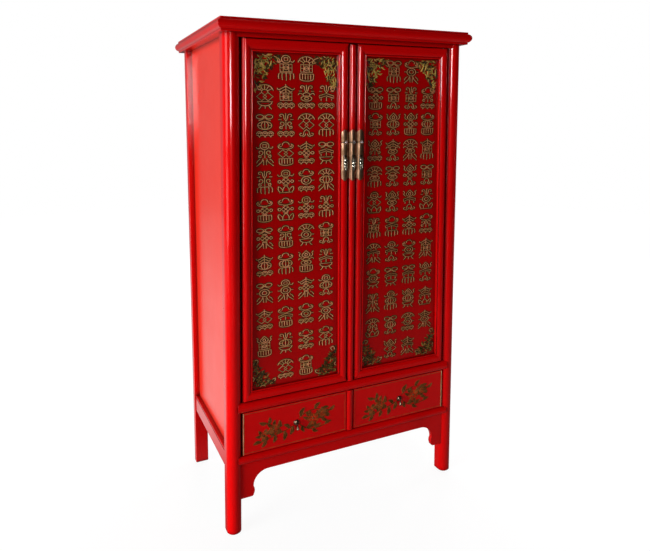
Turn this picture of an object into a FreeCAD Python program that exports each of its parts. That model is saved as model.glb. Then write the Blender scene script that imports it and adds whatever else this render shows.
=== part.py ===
import FreeCAD, Part
import math
import os
from FreeCAD import Vector

# A tapered wedding cabinet with two doors, a lift-out centre stile and two drawers.
# Millimetres. The front looks along -Y, X runs to the viewer's right and Z up.
# The origin is on the floor, midway between the sides and below the middle of the top.

# Overall sizes
cabinet_height = 1850.0
feet_width = 1048.0
posts_depth = 600.0
side_lean_share = 0.04

# Posts
post_width = 57.0
post_depth = 55.0
post_front_radius = 28.0
post_back_radius = 3.0
post_scribe = 18.0
post_foot_chamfer = 4.0
post_tenon_side = 24.0
post_tenon_length = 20.0

# Cornice, a mitred frame on top of the posts, and the panel in it
cornice_height = 41.0
cornice_overhang = 24.0
cornice_back_overhang = 28.0
cornice_member_width = 96.0
cornice_fillet_height = 6.0
cornice_fillet_setback = 11.0
top_panel_thickness = 12.0
top_panel_drop = 3.0
top_tongue_thickness = 6.0

# Rails
head_rail_height = 13.0
head_rail_recess = 3.0
back_head_rail_height = 40.0
mid_rail_top = 549.0
mid_rail_height = 42.0
lower_rail_top = 330.0
lower_rail_height = 34.0
rail_depth = 45.0
rail_proud = 5.0
rail_shoulder_recess = 9.0
rail_lap = 17.0
back_rail_recess = 4.0
back_rail_depth = 36.0

# Side rails, below the side panels
side_rail_bottom = 275.0
side_rail_height = 69.0
side_rail_recess = 4.0
side_rail_thickness = 40.0
side_bead_radius = 4.0
side_bead_groove = 1.5

# Side and back panels
side_panel_recess = 22.0
side_panel_thickness = 12.0
back_panel_recess = 12.0
back_panel_thickness = 10.0
panel_tongue = 8.0
panel_fit = 0.1

# Apron and its two brackets
apron_height = 47.0
apron_recess = 12.0
apron_thickness = 18.0
bracket_length = 104.0
bracket_bottom = 144.0
bracket_scoop_radius = 62.0
bracket_nib_bulge = 4.0
bracket_nib_radius = 10.0

# Boards inside and what carries them
floor_board_thickness = 14.0
floor_board_drop = 4.0
case_floor_thickness = 12.0
case_floor_rise = 9.0
shelf_height_share = 0.514
shelf_thickness = 16.0
shelf_front_setback = 40.0
bearer_height = 24.0

# Centre stile between the doors, and the divider between the drawers
centre_stile_width = 28.0
centre_stile_crest = 1.0
centre_stile_shoulder = 12.0
centre_stile_back = 34.0
centre_stile_lift = 6.0
centre_stile_tenon_side = 14.0
centre_stile_foot_tenon = 5.0
centre_stile_hold = 8.0
socket_clearance = 0.3
divider_width = 30.0
divider_crest = 2.0
divider_shoulder = 10.0
divider_back = 40.0

# Doors
door_crest = 2.0
door_edge_radius = 16.0
door_rail_edge_radius = 5.0
door_frame_width = 38.0
door_bead_width = 5.0
door_bead_rise = 3.0
door_groove_width = 1.0
door_moulding_fall = 6.0
door_panel_recess = 14.0
door_panel_thickness = 8.0
door_side_gap = 1.0
door_foot_gap = 2.0
door_head_gap = 1.8
pivot_radius = 7.0
pivot_clearance = 0.05
foot_pivot_length = 14.0
head_pivot_length = 22.0

# Drawers and runners
drawer_gap = 1.5
drawer_face_recess = 7.0
drawer_face_thickness = 20.0
drawer_side_height = 125.0
drawer_side_thickness = 11.0
drawer_length = 430.0
drawer_side_play = 7.0
drawer_back_drop = 12.0
drawer_bottom_thickness = 6.0
drawer_bottom_rise = 8.0
drawer_tongue = 5.0
runner_width = 30.0
runner_play = 0.3
guide_height = 20.0
guide_play = 1.0

# Brass plates, lock eyes and hangers
plate_half_width = 13.0
plate_thickness = 1.2
plate_fit = 0.05
plate_height_share = 0.7013
plate_length = 185.0
plate_point = 14.0
plate_corner_radius = 9.0
plate_groove_height = 2.4
plate_groove_depth = 0.7
eye_drop = 47.0
eye_radius = 5.5
eye_wire_radius = 1.5
shank_depth = 15.0
shank_fit = 0.05
hanger_wire_radius = 1.3
hanger_span = 13.0
hanger_standoff = 3.5
hanger_drop = 94.0

# Pendants
barrel_radius = 3.0
barrel_length = 8.0
barrel_fit = 0.06
pendant_length = 54.0
pendant_width = 15.0
pendant_neck_width = 7.0
pendant_thickness = 2.4
pendant_belly_drop = 20.0
pendant_hole_radius = 1.8
pendant_hole_drops = (15.0, 26.0, 37.0)

# Drawer pulls
rose_radius = 12.0
rose_rim = 1.2
rose_dome = 6.0
pull_standoff = 12.0
pull_span = 11.0
pull_barrel_length = 6.0
drop_length = 28.0
drop_radius = 6.5
drop_neck_radius = 2.0
drop_waist_radius = 3.4

# One overrun serves every cut, and edges shorter than the tolerance are left out
overrun = 80.0
tolerance = 0.000001

# Places worked out from the sizes above
half_feet = feet_width / 2
lean_angle = math.atan(side_lean_share)
cornice_bottom = cabinet_height - cornice_height
y_front = -(posts_depth + cornice_back_overhang - cornice_overhang) / 2
y_back = y_front + posts_depth
top_panel_bottom = cabinet_height - top_panel_drop - top_panel_thickness
head_rail_bottom = cornice_bottom - head_rail_height
mid_rail_bottom = mid_rail_top - mid_rail_height
lower_rail_bottom = lower_rail_top - lower_rail_height
side_rail_top = side_rail_bottom + side_rail_height
side_panel_back = side_panel_recess + side_panel_thickness
side_rail_inner = side_rail_recess + side_rail_thickness
apron_half_length = half_feet - (post_width / math.cos(lean_angle)
                                 + lower_rail_bottom * side_lean_share + bracket_length)
rails_inner_y = y_front + rail_depth
back_rail_front_y = y_back - back_rail_recess - back_rail_depth
back_panel_front_y = y_back - back_panel_recess - back_panel_thickness
half_stile = centre_stile_width / 2
half_divider = divider_width / 2
crest_y = y_front + door_crest
pivot_y = crest_y + door_edge_radius
door_back_y = crest_y + 2 * door_edge_radius
door_foot = mid_rail_top + door_foot_gap
door_head = head_rail_bottom - door_head_gap
compartment_height = head_rail_bottom - mid_rail_top
shelf_top = mid_rail_top + shelf_height_share * compartment_height
plate_high = mid_rail_top + plate_height_share * compartment_height + plate_length / 2
plate_low = plate_high - plate_length
eye_height = plate_high - eye_drop
pendant_pivot_height = plate_high - hanger_drop
door_edge_inset = post_width + door_side_gap
meeting_edge = half_stile + door_side_gap
plate_line = meeting_edge + door_edge_radius
drawer_foot = lower_rail_top + drawer_gap
drawer_head = mid_rail_bottom - drawer_gap
drawer_face_y = y_front + drawer_face_recess
drawer_box_y = drawer_face_y + drawer_face_thickness
drawer_inner_x = half_divider + drawer_gap
runner_top = drawer_foot - runner_play
case_floor_top = lower_rail_bottom + case_floor_rise + case_floor_thickness
X_AXIS = Vector(1, 0, 0)
Y_AXIS = Vector(0, 1, 0)
Z_AXIS = Vector(0, 0, 1)


# General shape helpers

def outline_face(path):
    """A flat face from a closed path of points; a pair in it is an arc's middle and end."""
    edges = []
    here = path[0]
    for step in path[1:] + [path[0]]:
        if isinstance(step, tuple):
            middle, end = step
            edges.append(Part.Arc(here, middle, end).toShape())
        else:
            end = step
            if here.distanceToPoint(end) > tolerance:
                edges.append(Part.makeLine(here, end))
        here = end
    return Part.Face(Part.Wire(edges))


def rounded_path(corners):
    """The path round a polygon whose corners, given with a radius, are rounded."""
    path = []
    for index, (point, radius) in enumerate(corners):
        if radius == 0:
            path.append(point)
            continue
        before = (corners[index - 1][0] - point).normalize()
        after = (corners[(index + 1) % len(corners)][0] - point).normalize()
        half_angle = before.getAngle(after) / 2
        bisector = (before + after).normalize()
        run = radius / math.tan(half_angle)
        centre = point + bisector * (radius / math.sin(half_angle))
        path.append(point + before * run)
        path.append((centre - bisector * radius, point + after * run))
    return path


def arc_point(centre_x, centre_y, radius, angle):
    """A point on a circle seen from above; the angle is from straight forward to the right."""
    return (centre_x + radius * math.sin(angle), centre_y - radius * math.cos(angle))


def one_solid(shape):
    """The single solid left by a boolean step, without the seams inside flat faces."""
    clean = shape.removeSplitter()
    return clean.Solids[0] if len(clean.Solids) == 1 else clean


def box(x_range, y_range, z_range):
    (x0, x1), (y0, y1), (z0, z1) = x_range, y_range, z_range
    return Part.makeBox(x1 - x0, y1 - y0, z1 - z0, Vector(x0, y0, z0))


def slab(z_low, z_high):
    """Everything between two heights."""
    reach = (-feet_width, feet_width)
    return box(reach, reach, (z_low, z_high))


def board(corners, y_low, y_high):
    """A prism along Y on a polygon of (x, z) corners."""
    face = outline_face([Vector(x, y_low, z) for x, z in corners])
    return face.extrude(Y_AXIS * (y_high - y_low))


def standing_bar(path, z_low, z_high):
    """A prism along Z on a path of (x, y) points; a pair of them is an arc."""
    raised = []
    for step in path:
        if isinstance(step[0], tuple):
            raised.append(tuple(Vector(x, y, z_low) for x, y in step))
        else:
            raised.append(Vector(step[0], step[1], z_low))
    return outline_face(raised).extrude(Z_AXIS * (z_high - z_low))


def rod(radius, start, direction, length):
    return Part.makeCylinder(radius, length, start, direction)


def mirrored(shape):
    """The same piece on the cabinet's other side."""
    return shape.mirror(Vector(0, 0, 0), X_AXIS)


# The leaning sides

def leaning_x(inset, z):
    """Distance from the middle to a plane that lies this far inside the left side's face."""
    return half_feet - inset / math.cos(lean_angle) - z * side_lean_share


def leaned(shape):
    """Leans a piece of the left side, drawn upright, about the foot's outer edge."""
    return shape.rotated(Vector(-half_feet, 0, 0), Y_AXIS, math.degrees(lean_angle))


def leaning_bar(outer_inset, inner_inset, z_range, y_range):
    """A bar of the left side between two leaning planes, level at its top and bottom."""
    z_low, z_high = z_range
    corners = [(-leaning_x(outer_inset, z_low), z_low), (-leaning_x(inner_inset, z_low), z_low),
               (-leaning_x(inner_inset, z_high), z_high), (-leaning_x(outer_inset, z_high), z_high)]
    return board(corners, *y_range)


def crosswise_board(inset, z_range, y_range):
    """A board that runs from one leaning side to the other."""
    z_low, z_high = z_range
    low, high = leaning_x(inset, z_low), leaning_x(inset, z_high)
    return board([(-low, z_low), (low, z_low), (high, z_high), (-high, z_high)], *y_range)


# Mitred frames

def line_crossing(point, direction, other, other_direction):
    """Where two lines in a plane cross."""
    turn = direction[0] * other_direction[1] - direction[1] * other_direction[0]
    gap = (other[0] - point[0], other[1] - point[1])
    along = (gap[0] * other_direction[1] - gap[1] * other_direction[0]) / turn
    return (point[0] + along * direction[0], point[1] + along * direction[1])


def inset_corners(corners, distance):
    """The corners of a counterclockwise polygon whose edges have all moved inwards."""
    lines = []
    for index, (x, z) in enumerate(corners):
        next_x, next_z = corners[(index + 1) % len(corners)]
        length = math.hypot(next_x - x, next_z - z)
        direction = ((next_x - x) / length, (next_z - z) / length)
        start = (x - direction[1] * distance, z + direction[0] * distance)
        lines.append((start, direction))
    return [line_crossing(*lines[index - 1], *lines[index]) for index in range(len(lines))]


def mitred_bar(outer, inner, depth_axis, depth_range, profile):
    """A moulded bar of a mitred frame.

    outer and inner are the two ends of the bar's edges, as vectors. The profile is a path of
    (u, d) points, with u from the inner edge outwards and d along the depth axis.
    """
    along = (outer[1] - outer[0]).normalize()
    outward = along.cross(depth_axis).normalize()
    if outward.dot(outer[0] - inner[0]) < 0:
        outward = outward * -1
    reach = (outer[0] - inner[0]).Length
    start = inner[0] - along * reach

    def place(point):
        return start + outward * point[0] + depth_axis * point[1]

    path = []
    for step in profile:
        if isinstance(step[0], tuple):
            path.append(tuple(place(point) for point in step))
        else:
            path.append(place(step))
    bar = outline_face(path).extrude(along * ((inner[1] - inner[0]).Length + 2 * reach))
    low, high = depth_range
    shift = depth_axis * low
    region = outline_face([outer[0] + shift, outer[1] + shift, inner[1] + shift, inner[0] + shift])
    return one_solid(bar.common(region.extrude(depth_axis * (high - low))))


# Posts

def upright_post():
    """The left front post before it is leaned: half-round to the front and square behind."""
    left, right = -half_feet, -half_feet + post_width
    back = y_front + post_depth
    foot = -overrun
    corners = [(Vector(left, y_front, foot), post_front_radius),
               (Vector(right, y_front, foot), post_front_radius),
               (Vector(right, back, foot), post_back_radius),
               (Vector(left, back, foot), post_back_radius)]
    return outline_face(rounded_path(corners)).extrude(Z_AXIS * (cabinet_height + 2 * overrun))


def post_tenon(clearance):
    """The square tenon on the left front post's head."""
    side = post_tenon_side + 2 * clearance
    x_low = -half_feet + (post_width - side) / 2
    y_low = y_front + (post_depth - side) / 2
    tenon = box((x_low, x_low + side), (y_low, y_low + side), (0, cabinet_height + overrun))
    return leaned(tenon).common(slab(cornice_bottom, cornice_bottom + post_tenon_length + clearance))


def to_the_back(shape):
    """The same piece between the back posts' planes instead of the front ones'."""
    return shape.mirror(Vector(0, (y_front + y_back) / 2, 0), Y_AXIS)


def post_blank():
    """A leaned post cut level at both ends, with its foot's rim worn to a chamfer."""
    shaft = one_solid(leaned(upright_post()).common(slab(0, cornice_bottom)))
    rim = [edge for edge in shaft.Edges if edge.BoundBox.ZMax < post_foot_chamfer / 2]
    worn = shaft.makeChamfer(post_foot_chamfer, rim)
    return one_solid(worn.fuse(post_tenon(0)))


def scribed(shape):
    """A piece whose ends run into the front posts, cut back to their round flanks."""
    return shape.cut([post_blank(), mirrored(post_blank())])


def front_post():
    cuts = [mid_rail_blank(), lower_rail(), side_panel(panel_fit)]
    return one_solid(post_blank().cut(cuts))


def back_post():
    cuts = [side_panel(panel_fit), back_panel(panel_fit)]
    return one_solid(to_the_back(post_blank()).cut(cuts))


# Sides and back

def side_panel(clearance):
    z_range = (side_rail_top - panel_tongue - clearance, cornice_bottom + panel_tongue + clearance)
    y_range = (y_front + post_depth - panel_tongue - clearance,
               y_back - post_depth + panel_tongue + clearance)
    return leaning_bar(side_panel_recess - clearance, side_panel_back + clearance, z_range, y_range)


def side_rail():
    """The broad rail under a side panel, with a bead along its upper edge."""
    y_range = (y_front + post_depth, y_back - post_depth)
    flat_top = side_rail_top - 2 * side_bead_radius
    rail = leaning_bar(side_rail_recess, side_rail_inner, (side_rail_bottom, side_rail_top), y_range)
    groove = leaning_bar(0, side_rail_recess + side_bead_radius,
                         (flat_top - side_bead_groove, side_rail_top + tolerance), y_range)
    bead_x = -leaning_x(side_rail_recess + side_bead_radius, side_rail_top - side_bead_radius)
    bead = rod(side_bead_radius, Vector(bead_x, y_range[0], side_rail_top - side_bead_radius),
               Y_AXIS, y_range[1] - y_range[0])
    return one_solid(rail.cut(groove).fuse(bead).cut(side_panel(panel_fit)))


def back_panel(clearance):
    z_range = (lower_rail_top - panel_tongue - clearance,
               cornice_bottom - back_head_rail_height + panel_tongue + clearance)
    y_range = (back_panel_front_y - clearance, y_back - back_panel_recess + clearance)
    return crosswise_board(post_width - panel_tongue - clearance, z_range, y_range)


def back_rail(z_low, z_high):
    y_range = (back_rail_front_y, y_back - back_rail_recess)
    rail = crosswise_board(post_width, (z_low, z_high), y_range)
    return one_solid(rail.cut(back_panel(panel_fit)))


# Front rails, apron and brackets

def rounded_front_rail(z_low, z_high):
    """A rail with a half-round face whose pointed ends lap onto the posts."""
    lap_y = y_front + post_front_radius
    shoulder_y = y_front + rail_shoulder_recess
    crest = y_front - rail_proud
    middle = (z_low + z_high) / 2
    blunt = max((z_high - z_low) / 2 - rail_lap, 0)
    start = -half_feet
    profile = [Vector(start, shoulder_y, z_low),
               (Vector(start, crest, middle), Vector(start, shoulder_y, z_high)),
               Vector(start, lap_y, z_high), Vector(start, lap_y, z_low)]
    moulding = outline_face(profile).extrude(X_AXIS * feet_width)
    right_end = [(leaning_x(post_width, z_low), z_low),
                 (leaning_x(post_width, middle - blunt) + rail_lap, middle - blunt),
                 (leaning_x(post_width, middle + blunt) + rail_lap, middle + blunt),
                 (leaning_x(post_width, z_high), z_high)]
    left_end = [(-x, z) for x, z in reversed(right_end)]
    arrow = board(right_end + left_end, crest - overrun, lap_y)
    between_posts = crosswise_board(post_width - post_scribe, (z_low, z_high), (crest - overrun, lap_y))
    shoulders = scribed(moulding.common(between_posts))
    core = crosswise_board(post_width, (z_low, z_high), (lap_y, rails_inner_y))
    return one_solid(moulding.common(arrow).fuse([shoulders, core]))


def mid_rail_blank():
    return rounded_front_rail(mid_rail_bottom, mid_rail_top)


def mid_rail():
    sockets = [foot_pivot(pivot_clearance), mirrored(foot_pivot(pivot_clearance)),
               centre_stile_foot(socket_clearance)]
    return one_solid(mid_rail_blank().cut(sockets))


def lower_rail():
    return rounded_front_rail(lower_rail_bottom, lower_rail_top)


def head_rail():
    y_range = (y_front + head_rail_recess, rails_inner_y)
    rail = crosswise_board(post_width - post_scribe, (head_rail_bottom, cornice_bottom), y_range)
    sockets = [head_pivot(pivot_clearance), mirrored(head_pivot(pivot_clearance)),
               centre_stile_head(socket_clearance)]
    return one_solid(scribed(rail).cut(sockets))


def apron():
    bottom = lower_rail_bottom - apron_height
    y_low = y_front + apron_recess
    return box((-apron_half_length, apron_half_length), (y_low, y_low + apron_thickness),
               (bottom, lower_rail_bottom))


def apron_bracket():
    """The left bracket: a quarter-round scoop from the apron down to a rounded nib."""
    y_low = y_front + apron_recess
    top = lower_rail_bottom
    edge = top - apron_height
    cusp_x = -apron_half_length - bracket_scoop_radius
    cusp_z = edge - bracket_scoop_radius
    diagonal = bracket_scoop_radius * math.sqrt(0.5)
    nib_z = bracket_bottom + bracket_nib_radius
    nib_slant = bracket_nib_radius * math.sqrt(0.5)
    foot_x = cusp_x - bracket_nib_radius

    def at(x, z):
        return Vector(x, y_low, z)

    path = [at(-apron_half_length, top), at(-apron_half_length, edge),
            (at(-apron_half_length - diagonal, cusp_z + diagonal), at(cusp_x, cusp_z)),
            (at(cusp_x + bracket_nib_bulge, (cusp_z + nib_z) / 2), at(cusp_x, nib_z)),
            (at(foot_x + nib_slant, nib_z - nib_slant), at(foot_x, bracket_bottom)),
            at(-leaning_x(post_width - post_scribe, bracket_bottom), bracket_bottom),
            at(-leaning_x(post_width - post_scribe, top), top)]
    return one_solid(scribed(outline_face(path).extrude(Y_AXIS * apron_thickness)))


# Cornice and top

def cornice_corners():
    """The cornice's outer corners seen from above, from the front left one round to the right."""
    half = leaning_x(0, cornice_bottom) + cornice_overhang
    front, back = y_front - cornice_overhang, y_back + cornice_back_overhang
    return [(-half, front), (half, front), (half, back), (-half, back)]


def top_layer(inset, z_low, z_high):
    """A board whose edges lie this far inside the cornice's."""
    corners = inset_corners(cornice_corners(), inset)
    face = outline_face([Vector(x, y, z_low) for x, y in corners])
    return face.extrude(Z_AXIS * (z_high - z_low))


def top_tongue(clearance):
    """The thin rim of the top panel, or with a clearance the groove for it."""
    return top_layer(cornice_member_width - panel_tongue - clearance,
                     top_panel_bottom - clearance,
                     top_panel_bottom + top_tongue_thickness + clearance)


def top_panel():
    """A panel whose rim is thinned from above, so that its field fills the frame."""
    field = top_layer(cornice_member_width + panel_fit, top_panel_bottom,
                      top_panel_bottom + top_panel_thickness)
    return one_solid(top_tongue(0).fuse(field))


def cornice_sockets():
    """What the cornice is hollowed for: tenons, panels, door pivots and the centre stile."""
    tenon = post_tenon(panel_fit)
    shapes = [tenon, to_the_back(tenon), side_panel(panel_fit), head_pivot(pivot_clearance)]
    return shapes + [mirrored(shape) for shape in shapes] + [
        top_tongue(panel_fit), centre_stile_head(socket_clearance)]


def cornice_member(index):
    """One side of the cornice: a big half-round between two set-back fillets."""
    outer = cornice_corners()
    inner = inset_corners(outer, cornice_member_width)
    edge = cornice_member_width - cornice_fillet_setback
    low, high = cornice_fillet_height, cornice_height - cornice_fillet_height
    profile = [(0, 0), (edge, 0), (edge, low),
               ((cornice_member_width, cornice_height / 2), (edge, high)),
               (edge, cornice_height), (0, cornice_height)]
    ends = [index, (index + 1) % len(outer)]
    outer_ends = [Vector(*outer[end], cornice_bottom) for end in ends]
    inner_ends = [Vector(*inner[end], cornice_bottom) for end in ends]
    bar = mitred_bar(outer_ends, inner_ends, Z_AXIS, (0, cornice_height), profile)
    return one_solid(bar.cut(cornice_sockets()))


# Boards inside

def all_posts():
    """The four posts without their cuts, for notching the boards round them."""
    front, back = post_blank(), to_the_back(post_blank())
    return [front, mirrored(front), back, mirrored(back)]


def inside_board(inset, z_range, y_range):
    return one_solid(crosswise_board(inset, z_range, y_range).cut(all_posts()))


def cabinet_floor():
    top = mid_rail_top - floor_board_drop
    return inside_board(side_panel_back, (top - floor_board_thickness, top),
                        (rails_inner_y, back_panel_front_y))


def shelf():
    return inside_board(side_panel_back, (shelf_top - shelf_thickness, shelf_top),
                        (y_front + shelf_front_setback, back_panel_front_y))


def drawer_case_floor():
    return inside_board(side_rail_inner, (case_floor_top - case_floor_thickness, case_floor_top),
                        (rails_inner_y, back_rail_front_y))


def side_bearers():
    """Four cleats between the posts, two under the floor and two under the shelf."""
    y_range = (y_front + post_depth, y_back - post_depth)
    bearers = []
    for top in (mid_rail_top - floor_board_drop - floor_board_thickness, shelf_top - shelf_thickness):
        bearer = leaning_bar(side_panel_back, post_width, (top - bearer_height, top), y_range)
        bearers += [bearer, mirrored(bearer)]
    return Part.makeCompound(bearers)


def drawer_runners():
    """A runner under each outer drawer side, one between them, and the guide on it."""
    y_range = (rails_inner_y, back_rail_front_y)
    inner_x = drawer_outer_x() - drawer_side_thickness - runner_width / 2
    outer = board([(-leaning_x(post_width, case_floor_top), case_floor_top),
                   (-inner_x, case_floor_top), (-inner_x, runner_top),
                   (-leaning_x(post_width, runner_top), runner_top)], *y_range)
    middle = box((-runner_width, runner_width), y_range, (case_floor_top, runner_top))
    guide_x = drawer_inner_x - guide_play
    guide_y = (y_front + divider_back, back_rail_front_y)
    guide = box((-guide_x, guide_x), guide_y, (runner_top, runner_top + guide_height))
    return Part.makeCompound([outer, mirrored(outer), middle, guide])


# Centre stile and drawer divider

def half_round_bar(half_width, crest, shoulder, back, z_range):
    """An upright bar with a half-round front; depths are from the posts' front."""
    path = [(-half_width, y_front + back), (half_width, y_front + back),
            (half_width, y_front + shoulder),
            ((0, y_front + crest), (-half_width, y_front + shoulder))]
    return standing_bar(path, *z_range)


def stile_tenon(z_low, z_high, clearance):
    half = centre_stile_tenon_side / 2 + clearance
    middle = y_front + (centre_stile_shoulder + centre_stile_back) / 2
    return box((-half, half), (middle - half, middle + half), (z_low, z_high))


def centre_stile_foot(clearance):
    """The stile's lower tenon, or with a clearance its socket in the mid rail."""
    depth = centre_stile_foot_tenon + clearance
    return stile_tenon(mid_rail_top - depth, mid_rail_top, clearance)


def centre_stile_head(clearance):
    """The stile's upper tenon, or its socket, which is deeper by the lift."""
    shoulder = head_rail_bottom - centre_stile_lift - socket_clearance
    reach = centre_stile_hold + (centre_stile_lift + clearance if clearance else 0)
    return stile_tenon(shoulder, head_rail_bottom + reach, clearance)


def centre_stile():
    shoulder = head_rail_bottom - centre_stile_lift - socket_clearance
    bar = half_round_bar(half_stile, centre_stile_crest, centre_stile_shoulder,
                         centre_stile_back, (mid_rail_top, shoulder))
    stile = bar.fuse([centre_stile_foot(0), centre_stile_head(0)])
    return one_solid(stile.cut(hardware_holes(0, y_front + centre_stile_crest)))


def drawer_divider():
    return half_round_bar(half_divider, divider_crest, divider_shoulder, divider_back,
                          (lower_rail_top, mid_rail_bottom))


# Doors

def door_corners():
    """The left door's outer corners, counterclockwise from the hinge side's foot."""
    return [(-leaning_x(door_edge_inset, door_foot), door_foot), (-meeting_edge, door_foot),
            (-meeting_edge, door_head), (-leaning_x(door_edge_inset, door_head), door_head)]


def crown_radius():
    """Radius of the long flank of the door moulding, from its crest to the bead."""
    run = door_frame_width - door_edge_radius - door_bead_width - door_groove_width
    return (run * run + door_moulding_fall * door_moulding_fall) / (2 * door_moulding_fall)


def door_profile(edge_radius, round_back):
    """The section of a door frame member, from the panel's edge outwards."""
    crest_u = door_frame_width - door_edge_radius
    flank_end = door_bead_width + door_groove_width
    valley = crest_y + door_moulding_fall
    edge_u = door_frame_width - edge_radius
    edge_y = crest_y + edge_radius
    slant = edge_radius * math.sqrt(0.5)
    half_angle = math.asin((crest_u - flank_end) / crown_radius()) / 2
    flank_middle = arc_point(crest_u, crest_y + crown_radius(), crown_radius(), -half_angle)
    if round_back:
        edge = [(crest_u, door_back_y), ((door_frame_width, pivot_y), (crest_u, crest_y))]
    else:
        edge = [(door_frame_width, door_back_y), (door_frame_width, edge_y),
                ((edge_u + slant, edge_y - slant), (edge_u, crest_y)), (crest_u, crest_y)]
    return [(0, door_back_y)] + edge + [
        (flank_middle, (flank_end, valley)), (door_bead_width, valley),
        ((door_bead_width / 2, valley - door_bead_rise), (0, valley))]


def door_member(index, edge_radius, round_back=False):
    """A mitred member of the left door: foot rail, meeting stile, head rail or hinge stile."""
    outer = door_corners()
    inner = inset_corners(outer, door_frame_width)
    ends = [index, (index + 1) % len(outer)]
    outer_ends = [Vector(outer[end][0], 0, outer[end][1]) for end in ends]
    inner_ends = [Vector(inner[end][0], 0, inner[end][1]) for end in ends]
    depth = (crest_y - overrun, door_back_y + overrun)
    bar = mitred_bar(outer_ends, inner_ends, Y_AXIS, depth,
                     door_profile(edge_radius, round_back))
    return one_solid(bar.cut(door_panel(panel_fit)))


def door_panel(clearance):
    reach = door_frame_width - panel_tongue - clearance
    y_low = crest_y + door_panel_recess - clearance
    corners = inset_corners(door_corners(), reach)
    return board(corners, y_low, y_low + door_panel_thickness + 2 * clearance)


def pivot_axis():
    """The direction of the left door's pivots, which follow the leaning post."""
    return Vector(math.sin(lean_angle), 0, math.cos(lean_angle))


def pivot_point(z):
    """The point of the left door's pivot line at a height."""
    return Vector(-leaning_x(door_edge_inset + door_edge_radius, z), pivot_y, z)


def foot_pivot(clearance):
    """The pin under the hinge stile, or with a clearance its socket."""
    reach = foot_pivot_length + clearance
    start = pivot_point(door_foot) - pivot_axis() * reach
    return rod(pivot_radius + clearance, start, pivot_axis(), reach + door_frame_width)


def head_pivot(clearance):
    start = pivot_point(door_head) - pivot_axis() * door_frame_width
    return rod(pivot_radius + clearance, start, pivot_axis(),
               head_pivot_length + door_frame_width + (head_play() if clearance else 0))


def head_play():
    """Room above the upper pin, so that the door can be lifted off its lower pin's socket."""
    return foot_pivot_length + socket_clearance


def hinge_stile():
    stile = door_member(3, door_edge_radius, round_back=True)
    return one_solid(stile.fuse([foot_pivot(0), head_pivot(0)]))


def hinge_corner():
    """What a rail loses at its hinge end, so that it turns clear of the post."""
    ends = (door_foot - overrun, door_head + overrun)
    pivot_inset = door_edge_inset + door_edge_radius
    corners = [(-leaning_x(0, ends[0]), ends[0]), (-leaning_x(pivot_inset, ends[0]), ends[0]),
               (-leaning_x(pivot_inset, ends[1]), ends[1]), (-leaning_x(0, ends[1]), ends[1])]
    length = (ends[1] - ends[0]) / math.cos(lean_angle)
    round_edge = rod(door_edge_radius, pivot_point(ends[0]), pivot_axis(), length)
    return board(corners, crest_y - overrun, pivot_y).cut(round_edge)


def door_rail(index):
    """A foot or head rail, notched for the root of the hinge stile's pivot."""
    rail = door_member(index, door_rail_edge_radius)
    return one_solid(rail.cut([foot_pivot(0), head_pivot(0), hinge_corner()]))


def meeting_stile():
    stile = door_member(1, door_edge_radius)
    return one_solid(stile.cut(hardware_holes(-plate_line, crest_y)))


# Brass plates, lock eyes and hangers

def wrapped_band(centre_x, crest, radii, offsets, z_range):
    """A curved sheet over a moulding whose left and right flanks have these radii."""
    near, far = offsets
    left_radius, right_radius = radii
    left_angle = -math.asin(plate_half_width / left_radius)
    right_angle = math.asin(plate_half_width / right_radius)

    def on_left(offset, angle):
        return arc_point(centre_x, crest + left_radius, left_radius + offset, angle)

    def on_right(offset, angle):
        return arc_point(centre_x, crest + right_radius, right_radius + offset, angle)

    path = [on_left(near, left_angle), (on_left(near, left_angle / 2), on_left(near, 0)),
            (on_right(near, right_angle / 2), on_right(near, right_angle)),
            on_right(far, right_angle), (on_right(far, right_angle / 2), on_right(far, 0)),
            (on_left(far, left_angle / 2), on_left(far, left_angle))]
    return standing_bar(path, *z_range)


def brass_plate(centre_x, crest, radii):
    """A long sword-shaped plate wrapped over a stile, with a groove across it at the lock eye."""
    outer = plate_fit + plate_thickness
    sheet = wrapped_band(centre_x, crest, radii, (plate_fit, outer), (plate_low, plate_high))
    half = plate_half_width + plate_thickness
    y = crest - overrun
    corners = [(-half, plate_low + plate_point), (0, plate_low), (half, plate_low + plate_point),
               (half, plate_high - plate_point), (0, plate_high), (-half, plate_high - plate_point)]
    rounded = [(Vector(centre_x + x, y, z), plate_corner_radius) for x, z in corners]
    blank = outline_face(rounded_path(rounded)).extrude(Y_AXIS * 2 * overrun)
    groove = wrapped_band(centre_x, crest, radii,
                          (outer - plate_groove_depth, outer + plate_thickness),
                          (eye_height - plate_groove_height / 2, eye_height + plate_groove_height / 2))
    plate = sheet.common(blank).cut([groove] + hardware_holes(centre_x, crest))
    return one_solid(plate)


def lock_eye_y(crest):
    """How far forward the middle of a lock eye's ring lies."""
    return crest - plate_fit - plate_thickness - eye_radius - eye_wire_radius - shank_fit


def eye_shank(centre_x, crest, clearance):
    start = Vector(centre_x, lock_eye_y(crest) + eye_radius, eye_height)
    length = crest + shank_depth + clearance - start.y
    return rod(eye_wire_radius + clearance, start, Y_AXIS, length)


def lock_eye(centre_x, crest):
    """A ring that stands out from the plate, for a bar through all three."""
    centre = Vector(centre_x, lock_eye_y(crest), eye_height)
    ring = Part.makeTorus(eye_radius, eye_wire_radius, centre, X_AXIS)
    return one_solid(ring.fuse(eye_shank(centre_x, crest, 0)))


def hanger_y(crest):
    return crest - plate_fit - plate_thickness - hanger_standoff


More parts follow.
